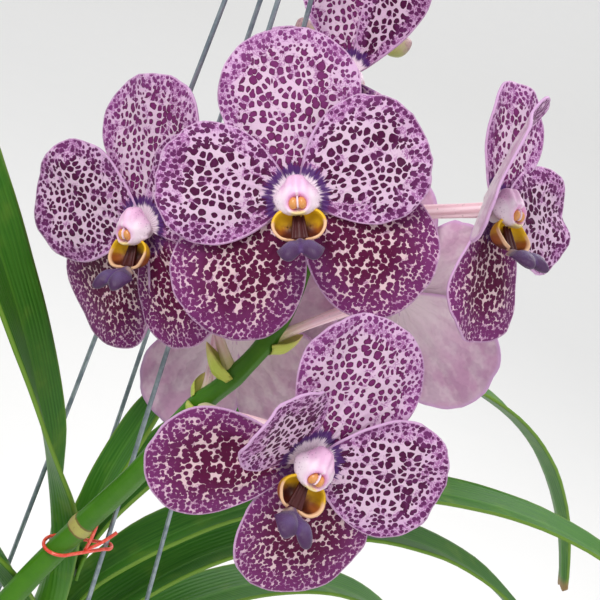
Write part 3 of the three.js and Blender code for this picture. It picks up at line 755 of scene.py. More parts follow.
def make_lips(settings):
    column = [column_paint(settings), anther_paint(settings)]
    throat = [throat_paint(settings)]
    midlobe = [midlobe_paint(settings)]
    for k, bloom in enumerate(BLOOMS):
        name = f"bloom_{k + 1}"
        draft = column_draft(bloom)
        draft.finish(f"{name}_column_fine", "column_pink", column, [f"{name}_column"])
        draft = throat_draft(bloom)
        wall = THROAT_WALL * METRES
        draft.finish(f"{name}_throat_fine", "throat_gold", throat, [f"{name}_throat"], wall, outward=False)
        draft = midlobe_draft(bloom)
        draft.finish(f"{name}_midlobe_fine", "midlobe_violet", midlobe, [f"{name}_midlobe"])


# Spike and buds


def spike_line():
    return Line(SPIKE_STOPS)


def pedicel_line(spike, k):
    """A bloom's pedicel, from the spike to the back of its hub, and the way in which it leaves."""
    bloom = BLOOMS[k]
    place = bloom_matrix(bloom)
    start = spike.at(spike.share_at(PEDICEL_Z[k]))
    end = place @ Vector((0, 0, HUB_BACK - GAP))
    back = place.to_3x3() @ Vector((0, 0, -1))
    span = (end - start).length
    leave = (end - start).normalized() * (span * 0.35)
    return bend(start, start + leave + UP * 2, end + back * (span * 0.4), end), leave


def add_bract(draft, start, leave, down):
    """A pointed scale that wraps the foot of a pedicel, on the side of the stalk's own foot."""
    along = leave.normalized()
    up = (down - along * down.dot(along)).normalized()
    side = up.cross(along)

    def shape(u, v):
        turn = radians(lerp(-95, 95, v)) * (1 - 0.2 * u)
        wide = lerp(4.6, 6.4, ease(u, 0, 0.4)) * (1 - u**2.4) + 0.2
        point = start + along * (BRACT_LENGTH * u - 0.5)
        point += side * (wide * sin(turn)) + up * (wide * cos(turn))
        return point + up * (2.6 * u * u), (u, v, 0), (2, 0, 0)

    verts = draft.grid(14, 12, shape)
    outer = list({face for vert in verts for face in vert.link_faces})
    bmesh.ops.solidify(draft.mesh, geom=outer, thickness=BRACT_WALL)


def make_spike(settings):
    spike = spike_line()
    joint = spike.length * spike.share_at(SPIKE_JOINT)
    forks = [spike.length * spike.share_at(z) for z in PEDICEL_Z]
    draft = Draft()

    def thick(u, turn):
        plain = lerp(SPIKE_RADIUS, SPIKE_TIP_RADIUS, ease(u, 0.35, 1.15))
        swell = sum(exp(-(((u * spike.length - at) / 3.5) ** 2)) for at in forks)
        ring = 0.7 * exp(-(((u * spike.length - joint) / 2.6) ** 2)) + 0.35 * min(swell, 1)
        return plain - 0.25 + ring + 0.1 * cos(5 * turn)

    draft.tube(spike, 150, 20, thick, (0, joint, 0))
    for k in range(len(BLOOMS)):
        line, leave = pedicel_line(spike, k)

        def stalk(u, turn):
            ribs = 0.22 * ease(u, 0.15, 0.6) * cos(6 * turn + 7 * u)
            return PEDICEL_RADIUS + 0.8 * exp(-((u / 0.12) ** 2)) + 0.85 * ease(u, 0.3, 0.85) + ribs

        draft.tube(line, 44, 36, stalk, (1, 0, 0))
        share = spike.share_at(PEDICEL_Z[k])
        add_bract(draft, line.at(0), leave, spike.at(share - 0.02) - spike.at(share + 0.02))
    for z, reach in BUD_STALKS:
        start = spike.at(spike.share_at(z))
        draft.tube(Line([start, start + Vector(reach)]), 6, 10, BUD_STALK_RADIUS, (1, 0, 0))
    draft.finish("flower_spike_fine", "spike_green", [spike_paint(settings)], ["flower_spike"])


def make_buds(settings):
    paints = [bud_paint(settings)]
    spike = spike_line()
    outline = Line([(r, 0, z) for r, z in BUD_OUTLINE]).points[::6]
    for k, (z, reach) in enumerate(BUD_STALKS):
        size = 1 - BUD_SHRINK * k
        side = [(p.x * size, p.z * size) for p in outline[1:-1]]
        draft = Draft()
        draft.lathe([(0, 0), *side, (0, BUD_HEIGHT * size)], 30)
        for vert in draft.mesh.verts:
            turn = atan2(vert.co.y, vert.co.x)
            crease = 1 - 0.09 * max(0, cos(3 * turn)) ** 6
            vert.co.x *= crease
            vert.co.y *= crease
        reach = Vector(reach)
        start = spike.at(spike.share_at(z)) + reach + reach.normalized() * GAP
        aim = UP.rotation_difference(reach).to_matrix().to_4x4()
        draft.move(Matrix.Translation(start) @ aim)
        draft.finish(f"bud_{k + 1}_fine", "bud_green", paints, [f"bud_{k + 1}"])


# Stem, leaves and roots


def stem_at(z):
    return Vector((STEM_LEAN * ease(z, RIM_TOP, STEM_TOP), 0, z))


def stem_line():
    return Line([stem_at(lerp(STEM_FOOT, STEM_TOP, k / 6)) for k in range(7)])


def make_stem(settings):
    draft = Draft()

    def thick(u, turn):
        z = lerp(STEM_FOOT, STEM_TOP, u)
        ring = max(0, cos(2 * pi * (z - SCAR_TOP) / SCAR_STEP)) ** 3 if z < SCAR_TOP else 0
        plain = STEM_RADIUS * (1 - 0.3 * ease(z, STEM_TOP - 12, STEM_TOP))
        return plain + 0.8 * ring + 0.12 * cos(9 * turn) - 0.15

    draft.tube(stem_line(), 140, 32, thick)
    draft.finish("stem_fine", "stem_green", [stem_paint(settings)], ["stem"])


def leaf_line(leaf):
    """A leaf's middle line, as (point, inner, across, along, share) for each step along it."""
    z, head, rise, long, _, twist = leaf
    share_at = lambda k: (k / LEAF_FINE) ** LEAF_PACE
    out_at = lambda s: radians(lerp(head[0], head[1], s**0.75))
    first = out_at(0)
    point = stem_at(z) + Vector((cos(first), sin(first), 0)) * CLASP_RADIUS
    line = []
    for k in range(LEAF_FINE + 1):
        s = share_at(k)
        out = out_at(s)
        steep = lerp(lerp(rise[0], rise[1], s), 89, exp(-((s * long / CLASP) ** 2)))
        steep = radians(steep)
        flat = Vector((cos(out), sin(out), 0))
        along = flat * cos(steep) + UP * sin(steep)
        inner = UP * cos(steep) - flat * sin(steep)
        turn = Matrix.Rotation(-radians(twist) * ease(s * long, CLASP, 120), 3, along)
        line.append((point.copy(), turn @ inner, turn @ along.cross(inner), along, s))
        point += along * ((share_at(k + 1) - s) * long)
    return line


def make_leaves(settings):
    paints = [leaf_paint(settings)]
    for k, leaf in enumerate(LEAVES):
        line = leaf_line(leaf)
        long, wide = leaf[3], leaf[4]

        def shape(u, v):
            point, inner, across, along, s = line[round(u * LEAF_FINE)]
            opened = ease(s * long, CLASP * 0.6, 70)
            grown = lerp(CLASP_RADIUS * CLASP_ANGLE, LEAF_HALF_WIDTH * wide, opened)
            half = grown * (1 - 0.62 * ease(s, 0.55, 1) ** 2.2)
            clasp = 1 - ease(s * long, CLASP, CLASP * 2.4)
            keel = radians(38 - 24 * ease(s, 0, 0.5))
            w = 2 * v - 1
            q = abs(w)
            side = copysign(1, w)
            curve = half / CLASP_ANGLE
            fold = half * (sqrt(q * q + 0.004) - 0.063)
            x = side * lerp(half * q * cos(keel), curve * sin(CLASP_ANGLE * q), clasp)
            y = lerp(fold * sin(keel), curve * (1 - cos(CLASP_ANGLE * q)), clasp)
            y += (1 - clasp) * 0.5 * rough((x, s * long, 0), 26, k)
            bite = -7 * ease(s, 0.97, 1) * (0.5 + 0.5 * cos(5.2 * w + 0.8)) * half / LEAF_HALF_WIDTH
            point = point + across * x + inner * y + along * bite
            return point, (w, s * long, s), (half, k, 0)

        draft = Draft()
        draft.grid(LEAF_ROWS, LEAF_COLUMNS, shape)
        name = f"leaf_{k + 1}"
        wall = settings.leaf_thickness
        draft.finish(f"{name}_fine", "leaf_green", paints, [name], wall, outward=False)


def root_line(root):
    """A root's middle line, from the stem's side along its path."""
    bearing, rise, path = root
    out = polar(1, bearing)
    slope = atan2(abs(path[0][1]), path[0][0] - STEM_RADIUS)
    clear = STEM_RADIUS + GAP + 0.1 + ROOT_RADIUS * sin(slope)
    return Line([stem_at(rise) + out * reach + UP * drop for reach, drop in [(clear, 0), *path]])


def make_roots(settings):
    paints = [root_paint(settings)]
    for k, root in enumerate(ROOTS):
        line = root_line(root)

        def thick(u, turn):
            wobble = 0.14 * rough((u * line.length, turn, 0), 7, k) - 0.12
            return ROOT_RADIUS * (1 - 0.5 * ease(u, 0.84, 1)) + wobble

        draft = Draft()
        draft.tube(line, 60, 18, thick)
        name = f"aerial_root_{k + 1}"
        draft.finish(f"{name}_fine", "root_grey", paints, [name])


# Pot, bark, hanger and tie


def wall_at(z):
    """The pot's outer radius at a height."""
    return lerp(POT_FOOT, POT_RADIUS, (z - FOOT_Z) / (RIM_TOP - RIM_HEIGHT - FOOT_Z))


def make_pot(settings):
    under = RIM_TOP - RIM_HEIGHT
    floor = POT_FLOOR
    outline = [
        (DRAIN_RADIUS, floor), (DRAIN_RADIUS, FOOT_Z), (POT_FOOT - 1, FOOT_Z), (POT_FOOT, FOOT_Z + 1),
        (POT_RADIUS, under), (RIM_RADIUS - 0.6, under), (RIM_RADIUS, under + 1),
        (RIM_RADIUS, RIM_TOP - 2), (RIM_RADIUS - 1.5, RIM_TOP), (RIM_RADIUS - POT_WALL, RIM_TOP),
        (RIM_RADIUS - POT_WALL - 1, RIM_TOP - 2), (wall_at(under) - POT_WALL, under),
        (wall_at(floor) - POT_WALL, floor), (DRAIN_RADIUS, floor),
    ]
    draft = Draft()
    draft.lathe(outline, 96)
    creases = [
        edge for edge in draft.mesh.edges
        if edge.is_manifold and edge.calc_face_angle(0) > radians(25)
    ]
    bmesh.ops.bevel(
        draft.mesh, geom=creases, offset=0.5, segments=3, profile=0.5, affect="EDGES", material=-1
    )
    draft.finish("pot_fine", "unglazed_clay", [clay_paint(settings)], ["pot"])


def make_bark(settings):
    """The mix as one block with a hole for the stem, and loose chips bedded in its top."""
    draw = random.Random(41)
    draft = Draft()
    floor = POT_FLOOR + GAP
    wide = wall_at(RIM_TOP - RIM_HEIGHT) - POT_WALL - 1
    narrow = wall_at(floor) - POT_WALL - 0.6
    hole = STEM_RADIUS + 2.4
    top = FILL_Z - 3
    draft.lathe([(hole, STEM_FOOT), (0, STEM_FOOT), (0, floor), (narrow, floor), (wide, top - 1),
                 (wide - 1, top), (hole, top), (hole, STEM_FOOT)], 48)
    for k in range(settings.chips):
        reach = lerp(hole + 4, wide - 5, sqrt((k + 0.5) / settings.chips))
        turn = GOLDEN_ANGLE * k
        size = [draw.uniform(*span) for span in CHIP_SPANS]
        tilt = Matrix.Rotation(draw.uniform(-CHIP_TILT, CHIP_TILT), 4, "X")
        tilt = tilt @ Matrix.Rotation(draw.uniform(-CHIP_TILT, CHIP_TILT), 4, "Y")
        spin = Matrix.Rotation(draw.uniform(0, 6.28), 4, "Z")
        height = top + draw.uniform(0, CHIP_RISE)
        place = Matrix.Translation((reach * cos(turn), reach * sin(turn), height))
        for vert in draft.ball(8, 6):
            at = Vector(copysign(abs(c) ** 0.45, c) * s / 2 for c, s in zip(vert.co, size))
            at += at.normalized() * rough(at, 2.6, k)
            vert.co = place @ spin @ tilt @ at
            vert[draft.place] = (k, 0, 0)
    draft.finish("bark_mix_fine", "orchid_bark", [bark_paint(settings)], ["bark_mix"])


def wire_angle(k):
    return 180 + WIRE_TURN + 90 * k


def wire_at(k, z):
    """The point at which a wire passes a height."""
    return polar(-z * SPREAD, wire_angle(k), z)


def make_hanger(settings):
    draft = Draft()
    hoop = Line([polar(HOOP_RADIUS, 30 * k, HOOP_Z) for k in range(12)], closed=True)
    draft.tube(hoop, 120, 12, WIRE)
    for k in range(4):
        turn = wire_at(k, HOOP_Z + 1)
        foot = polar(HOOP_RADIUS, wire_angle(k), HOOP_Z)
        low = (turn + foot) / 2 - UP * 0.5
        draft.tube(Line([wire_at(k, GATHER_Z + 6), turn]), 40, 12, WIRE)
        draft.tube(Line([turn, low, foot]), 10, 12, WIRE)
    wound = [polar(BINDING_REACH, 40 * k, BINDING_FOOT + BINDING_CLIMB * k) for k in range(BINDING_STOPS)]
    draft.tube(Line(wound, fine=4), 400, 8, BINDING_WIRE)
    draft.tube(Line([(0, 0, BINDING_FOOT), (0, 0, BINDING_TOP)]), 4, 16, BINDING_CORE)
    crook_z = HOOK_WIRE - HOOK_BEND
    stops = [(0, 0, GATHER_Z), (0, 0, GATHER_Z + 8), (HOOK_BEND * 0.55, 0, crook_z - HOOK_BEND * 0.85)]
    for turn in range(-20, 201, 20):
        angle = radians(turn)
        stops.append((HOOK_BEND * cos(angle), 0, crook_z + HOOK_BEND * sin(angle)))
    draft.tube(Line(stops), 90, 16, lambda u, t: (HOOK_WIRE - 0.29) * (1 - 0.35 * ease(u, 0.985, 1)))
    draft.finish("hanger_fine", "galvanised_wire", [wire_paint(settings)], ["hanger"])


def make_tie(settings):
    """The twist tie: one loop round the spike and the wire, and its two twisted ends."""
    spike = spike_line()
    wire = wire_at(TIED_WIRE, TIE_Z)
    stalk = spike.at(spike.share_at(TIE_Z - 2))
    across = (wire - stalk).normalized()
    side = across.cross(UP).normalized()
    lift = side.cross(across).normalized()
    stops = []
    for centre, reach, turns in (
        (stalk, SPIKE_RADIUS + 0.9 + GAP + TIE_RADIUS, range(60, 301, 30)),
        (wire, WIRE + GAP + TIE_RADIUS + 0.6, range(-110, 111, 44)),
    ):
        for turn in turns:
            angle = radians(turn)
            stops.append(centre + across * (reach * cos(angle)) + side * (reach * sin(angle)))
    draft = Draft()
    draft.tube(Line(stops, closed=True), 120, 12, TIE_RADIUS)
    knot = stalk.lerp(wire, 0.5) + side * 3.2
    for forward, up in TIE_ENDS:
        end = knot + side * 3 + lift * up + across * forward
        middle = knot.lerp(end, 0.5) + side * 2
        line = bend(knot, knot.lerp(middle, 2 / 3), end.lerp(middle, 2 / 3), end)
        draft.tube(line, 24, 12, TIE_RADIUS)
    draft.finish("twist_tie_fine", "tie_red", [tie_paint(settings)], ["twist_tie"])


# Finishes


def tone(*levels):
    """A colour as seen on a screen, 0 to 255, in the linear numbers that shaders take."""
    linear = lambda c: ((c / 255 + 0.055) / 1.055) ** 2.4 if c > 10 else c / 255 / 12.92
    return tuple(linear(c) for c in levels)


def tepal_paint(settings):
    """Dark spots on pale lilac, kept apart on dorsal and petals, and run together to a net on laterals."""
    paint = Paint("spotted_tepal", settings, roughness=0.55, specular_ior_level=0.12)
    _, reach, edge = paint.attribute("place")
    part, seed, angle = paint.attribute("kind")
    lateral = part.most(0)
    petal = (part * -1).most(0)
    dense = lateral * 0.45 + 1
    x = dense * reach * angle.sine() + seed * SPOT_SHIFT[0]
    y = dense * reach * angle.cosine() + seed * SPOT_SHIFT[1]
    where = paint.warp(paint.vector(x, y * 0.9), 12, 2.6)
    where = paint.warp(where, 1.6, 0.6)
    blotch = paint.noise(where, 8)
    grain = paint.noise(where, 0.5, 2)
    size = settings.spot_size / METRES
    wide = petal * (settings.petal_spots - settings.dorsal_spots) + settings.dorsal_spots
    wide = wide + lateral * (settings.lateral_spots - settings.dorsal_spots)
    inside = paint.spots(where, size, wide + (blotch - 0.5) * (0.3 - lateral * 0.16))
    gap = 1 - (paint.cells(where, size) + lateral + (blotch - 0.54).most(0) * 2).smooth(0, 0.26)
    inside = inside - gap * 0.3
    small = paint.spots(where, size * 0.7, wide - 0.1 + lateral * 0.1 + (blotch - 0.5) * 0.2)
    near = (edge + blotch * 12).smooth(12, 17)
    inside = small + (inside - small) * near
    streaks = paint.spots(paint.vector(angle * 11 + seed * 7, reach * 0.4 + grain), 1.9, 0.47)
    close = (reach + blotch * 6).smooth(14, 20)
    inside = streaks + (inside - streaks) * close.most(lateral)
    spots = inside.smooth(0, 0.06)
    haze = (paint.noise(where, 4.5, 4) + (1 - edge.smooth(2, 14)) * 0.12).smooth(0.5, 0.66)
    stipple = (grain + haze * 0.16).smooth(0.55, 0.68) * (haze * 0.8 + 0.2)
    margin = 1 - (edge + blotch * 7).smooth(3, 15)
    ground = paint.mix(blotch, "ground", "ground_warm")
    ground = paint.mix(margin * 0.7 + haze * 0.3, ground, "margin")
    ground = paint.mix(lateral * (1 - margin * 0.5), ground, "net")
    dark = paint.mix(inside.smooth(0.02, 0.3), "deep", "spot")
    dark = paint.mix(petal * 0.8, dark, "petal_spot")
    dark = paint.mix(margin * (0.6 - petal * 0.25) + haze * 0.25, dark, "violet")
    outer = 1 - (edge + blotch * 9).smooth(4, 23)
    tip = paint.mix(outer * 0.85, "lateral", "lateral_tip")
    dark = paint.mix(lateral, dark, tip)
    ground = paint.mix(stipple * 0.75, ground, tone(138, 56, 128))
    colour = paint.mix(spots, ground, dark)
    colour = paint.mix((1 - (edge + grain * 0.5).smooth(0.5, 0.9)) * 0.7, colour, "ground")
    fringe = paint.noise(paint.vector(angle * 9 + seed * 5, reach * 0.12), 0.6, 4)
    collar = 1 - (reach - fringe * 9).smooth(6, 7.6)
    colour = paint.mix(collar * (0.95 - lateral * 0.35), colour, "collar")
    halo = 1 - (reach + fringe * 6).smooth(10.4, 12.2)
    colour = paint.mix(halo * (0.9 - lateral * 0.9), colour, "column")
    veins = (angle * 46 + blotch * 9).sine()
    bump = veins * 0.2 + blotch * 1.2
    return paint.finish(colour, bump=bump, depth=0.0008)


def tepal_back_paint(settings):
    paint = Paint("tepal_back", settings, roughness=0.55, specular_ior_level=0.25)
    arc, reach, edge = paint.attribute("place")
    _, seed, angle = paint.attribute("kind")
    where = paint.vector(arc + seed * SPOT_SHIFT[0], reach + seed * SPOT_SHIFT[1])
    blotch = paint.noise(where, 9)
    veins = (angle * 24 + blotch * 9).sine().smooth(0.1, 1)
    cloud = paint.noise(paint.vector(angle * 30 + seed * 11, reach * 0.6), 6, 4).smooth(0.42, 0.66)
    centre = 1 - (reach + blotch * 18).smooth(14, 54)
    colour = paint.mix(centre, "back", "back_centre")
    ghost = (paint.cells(where, settings.spot_size / METRES) - 0.12).smooth(0, 0.25)
    colour = paint.mix(cloud * 0.55, colour, "back_centre")
    colour = paint.mix(ghost * 0.12 * reach.smooth(10, 30), colour, "back_vein")
    colour = paint.mix(veins * 0.28 * reach.smooth(8, 40), colour, "back_vein")
    colour = paint.mix(1 - edge.smooth(0, 2), colour, "margin")
    return paint.finish(colour, bump=veins + blotch * 0.5, strength=0.4)


def column_paint(settings):
    """White hood, pink along its crest and round the anther, dark where it enters the collar."""
    paint = Paint("column", settings, roughness=0.42)
    x, y, z = paint.attribute("place")
    where = paint.vector(x, y, z)
    blotch = paint.noise(where, 2.4, 4)
    crest = (y + blotch * 4 + (x * 2.2).sine() * 0.8).smooth(0.5, 7.5) * 0.55
    colour = paint.mix(crest, "column", "column_flush")
    ring = (x * x * 0.8 + (y + 2.2) * (y + 2.2)) ** 0.5
    pink = (1 - (ring + blotch).smooth(2.6, 5.4)) * z.smooth(7.5, 9.5) * x.size().smooth(0.1, 0.8)
    colour = paint.mix(pink * 0.85, colour, "column_flush")
    chin = (1 - (y + blotch * 1.5).smooth(-5.4, -3.6)) * (1 - x.size().smooth(1.6, 3.6))
    colour = paint.mix(chin * 0.85, colour, tone(230, 208, 120))
    fleck = paint.cells(where, 1.1, "F1", dimensions="3D")
    flecks = (0.3 - fleck).smooth(0, 0.1) * 0.35 * (1 - z.smooth(8, 11))
    colour = paint.mix(flecks, colour, "violet")
    return paint.finish(colour, bump=blotch, strength=0.35)


def anther_paint(settings):
    paint = Paint("anther", settings, roughness=0.35, coat_weight=0.3)
    where = paint.vector(*paint.attribute("place"))
    grain = paint.noise(where, 1.2)
    colour = paint.mix(grain, "anther", tone(226, 164, 92))
    return paint.finish(colour, bump=grain, depth=0.0003, strength=0.4)


def throat_paint(settings):
    """Yellow cups, maroon towards the middle, with pale rims; the tongue between is dark."""
    paint = Paint("throat", settings, roughness=0.46, specular_ior_level=0.3)
    x, y, u = paint.attribute("place")
    tongue, outer, _ = paint.attribute("kind")
    grain = paint.noise(paint.vector(x, y, u), 2)
    inner = 1 - (x * 0.8 + y * 0.8 + grain * 2).smooth(-1, 2.6)
    warm = paint.mix((y + grain * 3).smooth(0, 3.6), tone(158, 86, 38), "throat")
    colour = paint.mix(inner * 0.92, warm, "throat_dark")
    colour = paint.mix(u.smooth(0.84, 0.95) * outer.smooth(0.05, 0.4), colour, tone(236, 188, 146))
    dark = paint.mix(grain, "throat_dark", tone(78, 28, 28))
    colour = paint.mix(tongue, colour, dark)
    return paint.finish(colour, bump=grain, depth=0.0004)


def midlobe_paint(settings):
    paint = Paint("midlobe", settings, roughness=0.5, sheen_weight=0.2, sheen_roughness=0.35)
    x, reach, u = paint.attribute("place")
    where = paint.vector(x, reach)
    nap = paint.noise(where, 0.7, 4)
    blotch = paint.noise(where, 4)
    top, _, _ = paint.attribute("kind")
    # Painted highlight: the upper side is lightened as if lit from above. The tip and lower side keep the
    # dark midlobe colour, which is partly its own colour and partly painted shade.
    pale = top.smooth(0.2, 1) * (blotch.smooth(0.25, 0.6) * 0.5 + 0.5) * (1 - u.smooth(0.72, 1))
    colour = paint.mix(pale, "midlobe", "midlobe_highlight")
    colour = paint.mix((1 - (u + blotch * 0.1).smooth(0.1, 0.32)) * 0.75, colour, tone(206, 178, 158))
    # Painted shade: a dark line in the collar colour along the dip between the two lobes.
    groove = 1 - (x.size() + blotch).smooth(0.4, 2)
    colour = paint.mix(groove * 0.8, colour, "collar")
    return paint.finish(colour, bump=nap, strength=0.6)


def spike_paint(settings):
    """Green stalk with a scaly ring at its joint, pedicels from yellow-green to pink, and pale bracts."""
    paint = Paint("spike", settings, roughness=0.45, specular_ior_level=0.3)
    u, turn, along = paint.attribute("place")
    kind, joint, _ = paint.attribute("kind")
    where = paint.object_mm()
    blotch = paint.noise(where, 12)
    fine = paint.noise(where, 1.4)
    stalk = paint.mix(blotch, "spike", "spike_light")
    ring = 1 - ((along - joint).size() + fine).smooth(2.6, 4)
    scaly = paint.mix(blotch.smooth(0.35, 0.65), tone(176, 170, 92), tone(164, 142, 84))
    stalk = paint.mix(ring * 0.9, stalk, scaly)
    lip = (1 - ((along - joint).size() - 3 + fine * 0.6).size().smooth(0.2, 0.7)) * 0.7
    stalk = paint.mix(lip, stalk, tone(92, 62, 34))
    ribs = (turn * 37.7 + u * 7).sine().smooth(-0.6, 1)
    pink = paint.mix(ribs * 0.45, "pedicel", tone(220, 158, 170))
    pedicel = paint.mix((u + blotch * 0.3).smooth(0.12, 0.5), tone(206, 208, 130), pink)
    colour = paint.mix(kind.least(1), stalk, pedicel)
    bract = paint.mix(u.smooth(0.4, 1), tone(186, 198, 84), tone(226, 212, 134))
    colour = paint.mix((kind - 1).most(0), colour, bract)
    colour = paint.mix(fine.smooth(0.62, 0.75) * 0.35, colour, tone(60, 88, 40))
    return paint.finish(colour, bump=fine + (turn * 62.83).sine() * 0.3, depth=0.0004, strength=0.4)


def bud_paint(settings):
    paint = Paint("bud", settings, roughness=0.42, coat_weight=0.1)
    x, y, z = paint.attribute("place")
    where = paint.vector(x, y, z)
    blotch = paint.noise(where, 3)
    flush = (z + blotch * 8).smooth(6, 16)
    colour = paint.mix(flush * 0.7, "bud", "bud_flush")
    spots = paint.cells(where, 2.2, dimensions="3D").smooth(0.14, 0.22) * z.smooth(5, 11)
    colour = paint.mix(spots * 0.45, colour, "bud_spot")
    return paint.finish(colour, bump=blotch, depth=0.0004, strength=0.3)


def leaf_paint(settings):
    """Green with fine parallel veins, a paler keel, a thin yellowish edge and broad painted sunlit patches.
    """
    paint = Paint("leaf", settings, specular_ior_level=0.3)
    w, along, share = paint.attribute("place")
    half, seed, _ = paint.attribute("kind")
    lines = paint.vector(w * half, along * 0.03 + seed * 9)
    fine = paint.noise(lines, 0.8, 3)
    broad = paint.noise(paint.vector(w * half, along + seed * 40), 22)
    colour = paint.mix(fine.smooth(0.3, 0.7) * 0.4, "leaf", "leaf_light")
    # Painted sunlight: broad soft patches lightened towards the warm green.
    colour = paint.mix(broad.smooth(0.5, 0.8) * 0.45, colour, "leaf_warm")
    edge = ((w.size() - 1) * half * -1 + fine * 0.8).smooth(0.3, 1.6) * -1 + 1
    colour = paint.mix(edge * 0.7, colour, "leaf_warm")
    keel = 1 - (w * half).size().smooth(0.4, 1.4)
    colour = paint.mix(keel * 0.4, colour, "leaf_light")
    dry = (share + broad * 0.03).smooth(0.992, 1.012)
    colour = paint.mix(dry, colour, tone(150, 118, 70))
    foot = 1 - (along + broad * 20).smooth(6, 46)
    colour = paint.mix(foot * 0.6, colour, "leaf_light")
    veins = (w * half * 3.4).sine()
    rough_part = fine * 0.2 + 0.38
    return paint.finish(colour, rough_part, bump=veins * 0.3 + fine * 0.6, depth=0.0004, strength=0.35)


def stem_paint(settings):
    """Green above; below the leaves brown and corky, with a dark line at each scar."""
    paint = Paint("stem", settings, roughness=0.6)
    where = paint.object_mm()
    _, _, z = paint.parts(where)
    grain = paint.noise(where, 2.2)
    blotch = paint.noise(where, 14)
    old = 1 - (z + blotch * 30).smooth(SCAR_TOP - 20, SCAR_TOP + 40)
    colour = paint.mix(grain, "stem", "leaf_light")
    bark = paint.mix(grain, tone(108, 92, 60), tone(150, 138, 98))
    colour = paint.mix(old * 0.75, colour, bark)
    scar = ((z - SCAR_TOP) * (2 * pi / SCAR_STEP) + pi / 2).sine()
    colour = paint.mix(scar.smooth(0.82, 0.96) * old, colour, tone(84, 66, 44))
    return paint.finish(colour, bump=grain, depth=0.0006, strength=0.6)


def root_paint(settings):
    """Silver-grey velamen with faint lines, and a green growing tip."""
    paint = Paint("root", settings, roughness=0.75)
    u, _, _ = paint.attribute("place")
    where = paint.object_mm()
    grain = paint.noise(where, 1.6)
    blotch = paint.noise(where, 11)
    colour = paint.mix(blotch.smooth(0.35, 0.7), "root", tone(196, 198, 184))
    colour = paint.mix(grain.smooth(0.55, 0.75) * 0.4, colour, tone(120, 120, 92))
    colour = paint.mix((u + blotch * 0.05).smooth(0.88, 0.95), colour, "leaf_light")
    colour = paint.mix((u + grain * 0.02).smooth(0.975, 0.99), colour, tone(120, 70, 60))
    return paint.finish(colour, bump=grain + blotch, depth=0.0006)


def clay_paint(settings):
    """Unglazed clay with grain, turning lines, pale lime low down and green algae in patches."""
    paint = Paint("clay", settings, roughness=0.86)
    where = paint.object_mm()
    x, y, z = paint.parts(where)
    grain = paint.noise(where, 1.1, 5)
    cloud = paint.noise(where, 18, 5)
    colour = paint.mix(cloud.smooth(0.3, 0.7), "clay", "clay_light")
    lime = (paint.noise(paint.vector(x, y, z * 0.5), 13, 6) - (z - FOOT_Z) * 0.0022).smooth(0.44, 0.62)
    colour = paint.mix(lime * 0.6, colour, tone(216, 200, 180))
    algae = (cloud + (z - FOOT_Z) * 0.0024).smooth(0.66, 0.84)
    colour = paint.mix(algae * 0.45, colour, tone(104, 106, 62))
    colour = paint.mix(grain.smooth(0.62, 0.74) * 0.3, colour, tone(120, 62, 40))
    turning = (z * 2.4 + cloud * 3).sine()
    return paint.finish(colour, bump=grain * 0.8 + turning * 0.1, depth=0.0008)


def bark_paint(settings):
    paint = Paint("bark", settings, roughness=0.9)
    chip, _, _ = paint.attribute("place")
    where = paint.object_mm()
    grain = paint.noise(where, 1.3, 5)
    x, y, z = paint.parts(where)
    layers = paint.noise(paint.vector(x, y, z * 5), 5)
    pick = paint.noise(paint.vector(chip * 3.7, chip * 1.3), 1.0, 0)
    colour = paint.mix(pick.smooth(0.3, 0.7), "bark", "bark_light")
    colour = paint.mix(layers.smooth(0.4, 0.7) * 0.6, colour, tone(62, 40, 28))
    colour = paint.mix(grain.smooth(0.6, 0.75) * 0.5, colour, tone(170, 134, 96))
    return paint.finish(colour, bump=grain + layers, depth=0.001, strength=0.8)


def wire_paint(settings):
    """Galvanised wire: zinc bloom in patches over brighter metal."""
    paint = Paint("galvanised_wire", settings)
    where = paint.object_mm()
    patches = paint.noise(where, 5, 4)
    fine = paint.noise(where, 0.8, 3)
    colour = paint.mix(patches.smooth(0.35, 0.65), "wire", "wire_light")
    colour = paint.mix(fine.smooth(0.66, 0.76) * 0.4, colour, tone(92, 84, 76))
    shine = patches.smooth(0.3, 0.7) * -0.25 + 0.62
    metal = patches.smooth(0.3, 0.7) * 0.3 + 0.6
    return paint.finish(colour, shine, metal, bump=fine, depth=0.0003, strength=0.3)


def tie_paint(settings):
    paint = Paint("plastic_tie", settings, coat_weight=0.5, coat_roughness=0.15)
    where = paint.object_mm()
    scuffs = paint.noise(where, 1.5, 4)
    colour = paint.mix(scuffs.smooth(0.45, 0.7), "tie", tone(240, 112, 88))
    return paint.finish(colour, scuffs * 0.3 + 0.22, bump=scuffs, depth=0.0002, strength=0.3)


def floor_paint(settings):
    paint = Paint("studio_floor", settings, roughness=0.9)
    grain = paint.noise(paint.object_mm(), 60, 3)
    shade = tuple(c * 0.985 for c in settings.floor_colour)
    return paint.finish(paint.mix(grain, "floor", shade))


# Settings


def colour_field(name, description, *levels):
    return FloatVectorProperty(
        name=name, description=description, subtype="COLOR", size=3, min=0, max=1, default=tone(*levels)
    )


def length_field(name, description, default, high):
    return FloatProperty(
        name=name, description=description, default=default, min=0, max=high, unit="LENGTH", precision=5
    )


def share_field(name, whose, default):
    description = f"Radius of {whose} spots as a share of their spacing"
    return FloatProperty(name=name, description=description, default=default)


def power_field(name, description, default):
    return FloatProperty(name=name, description=description, default=default, min=0, unit="POWER")


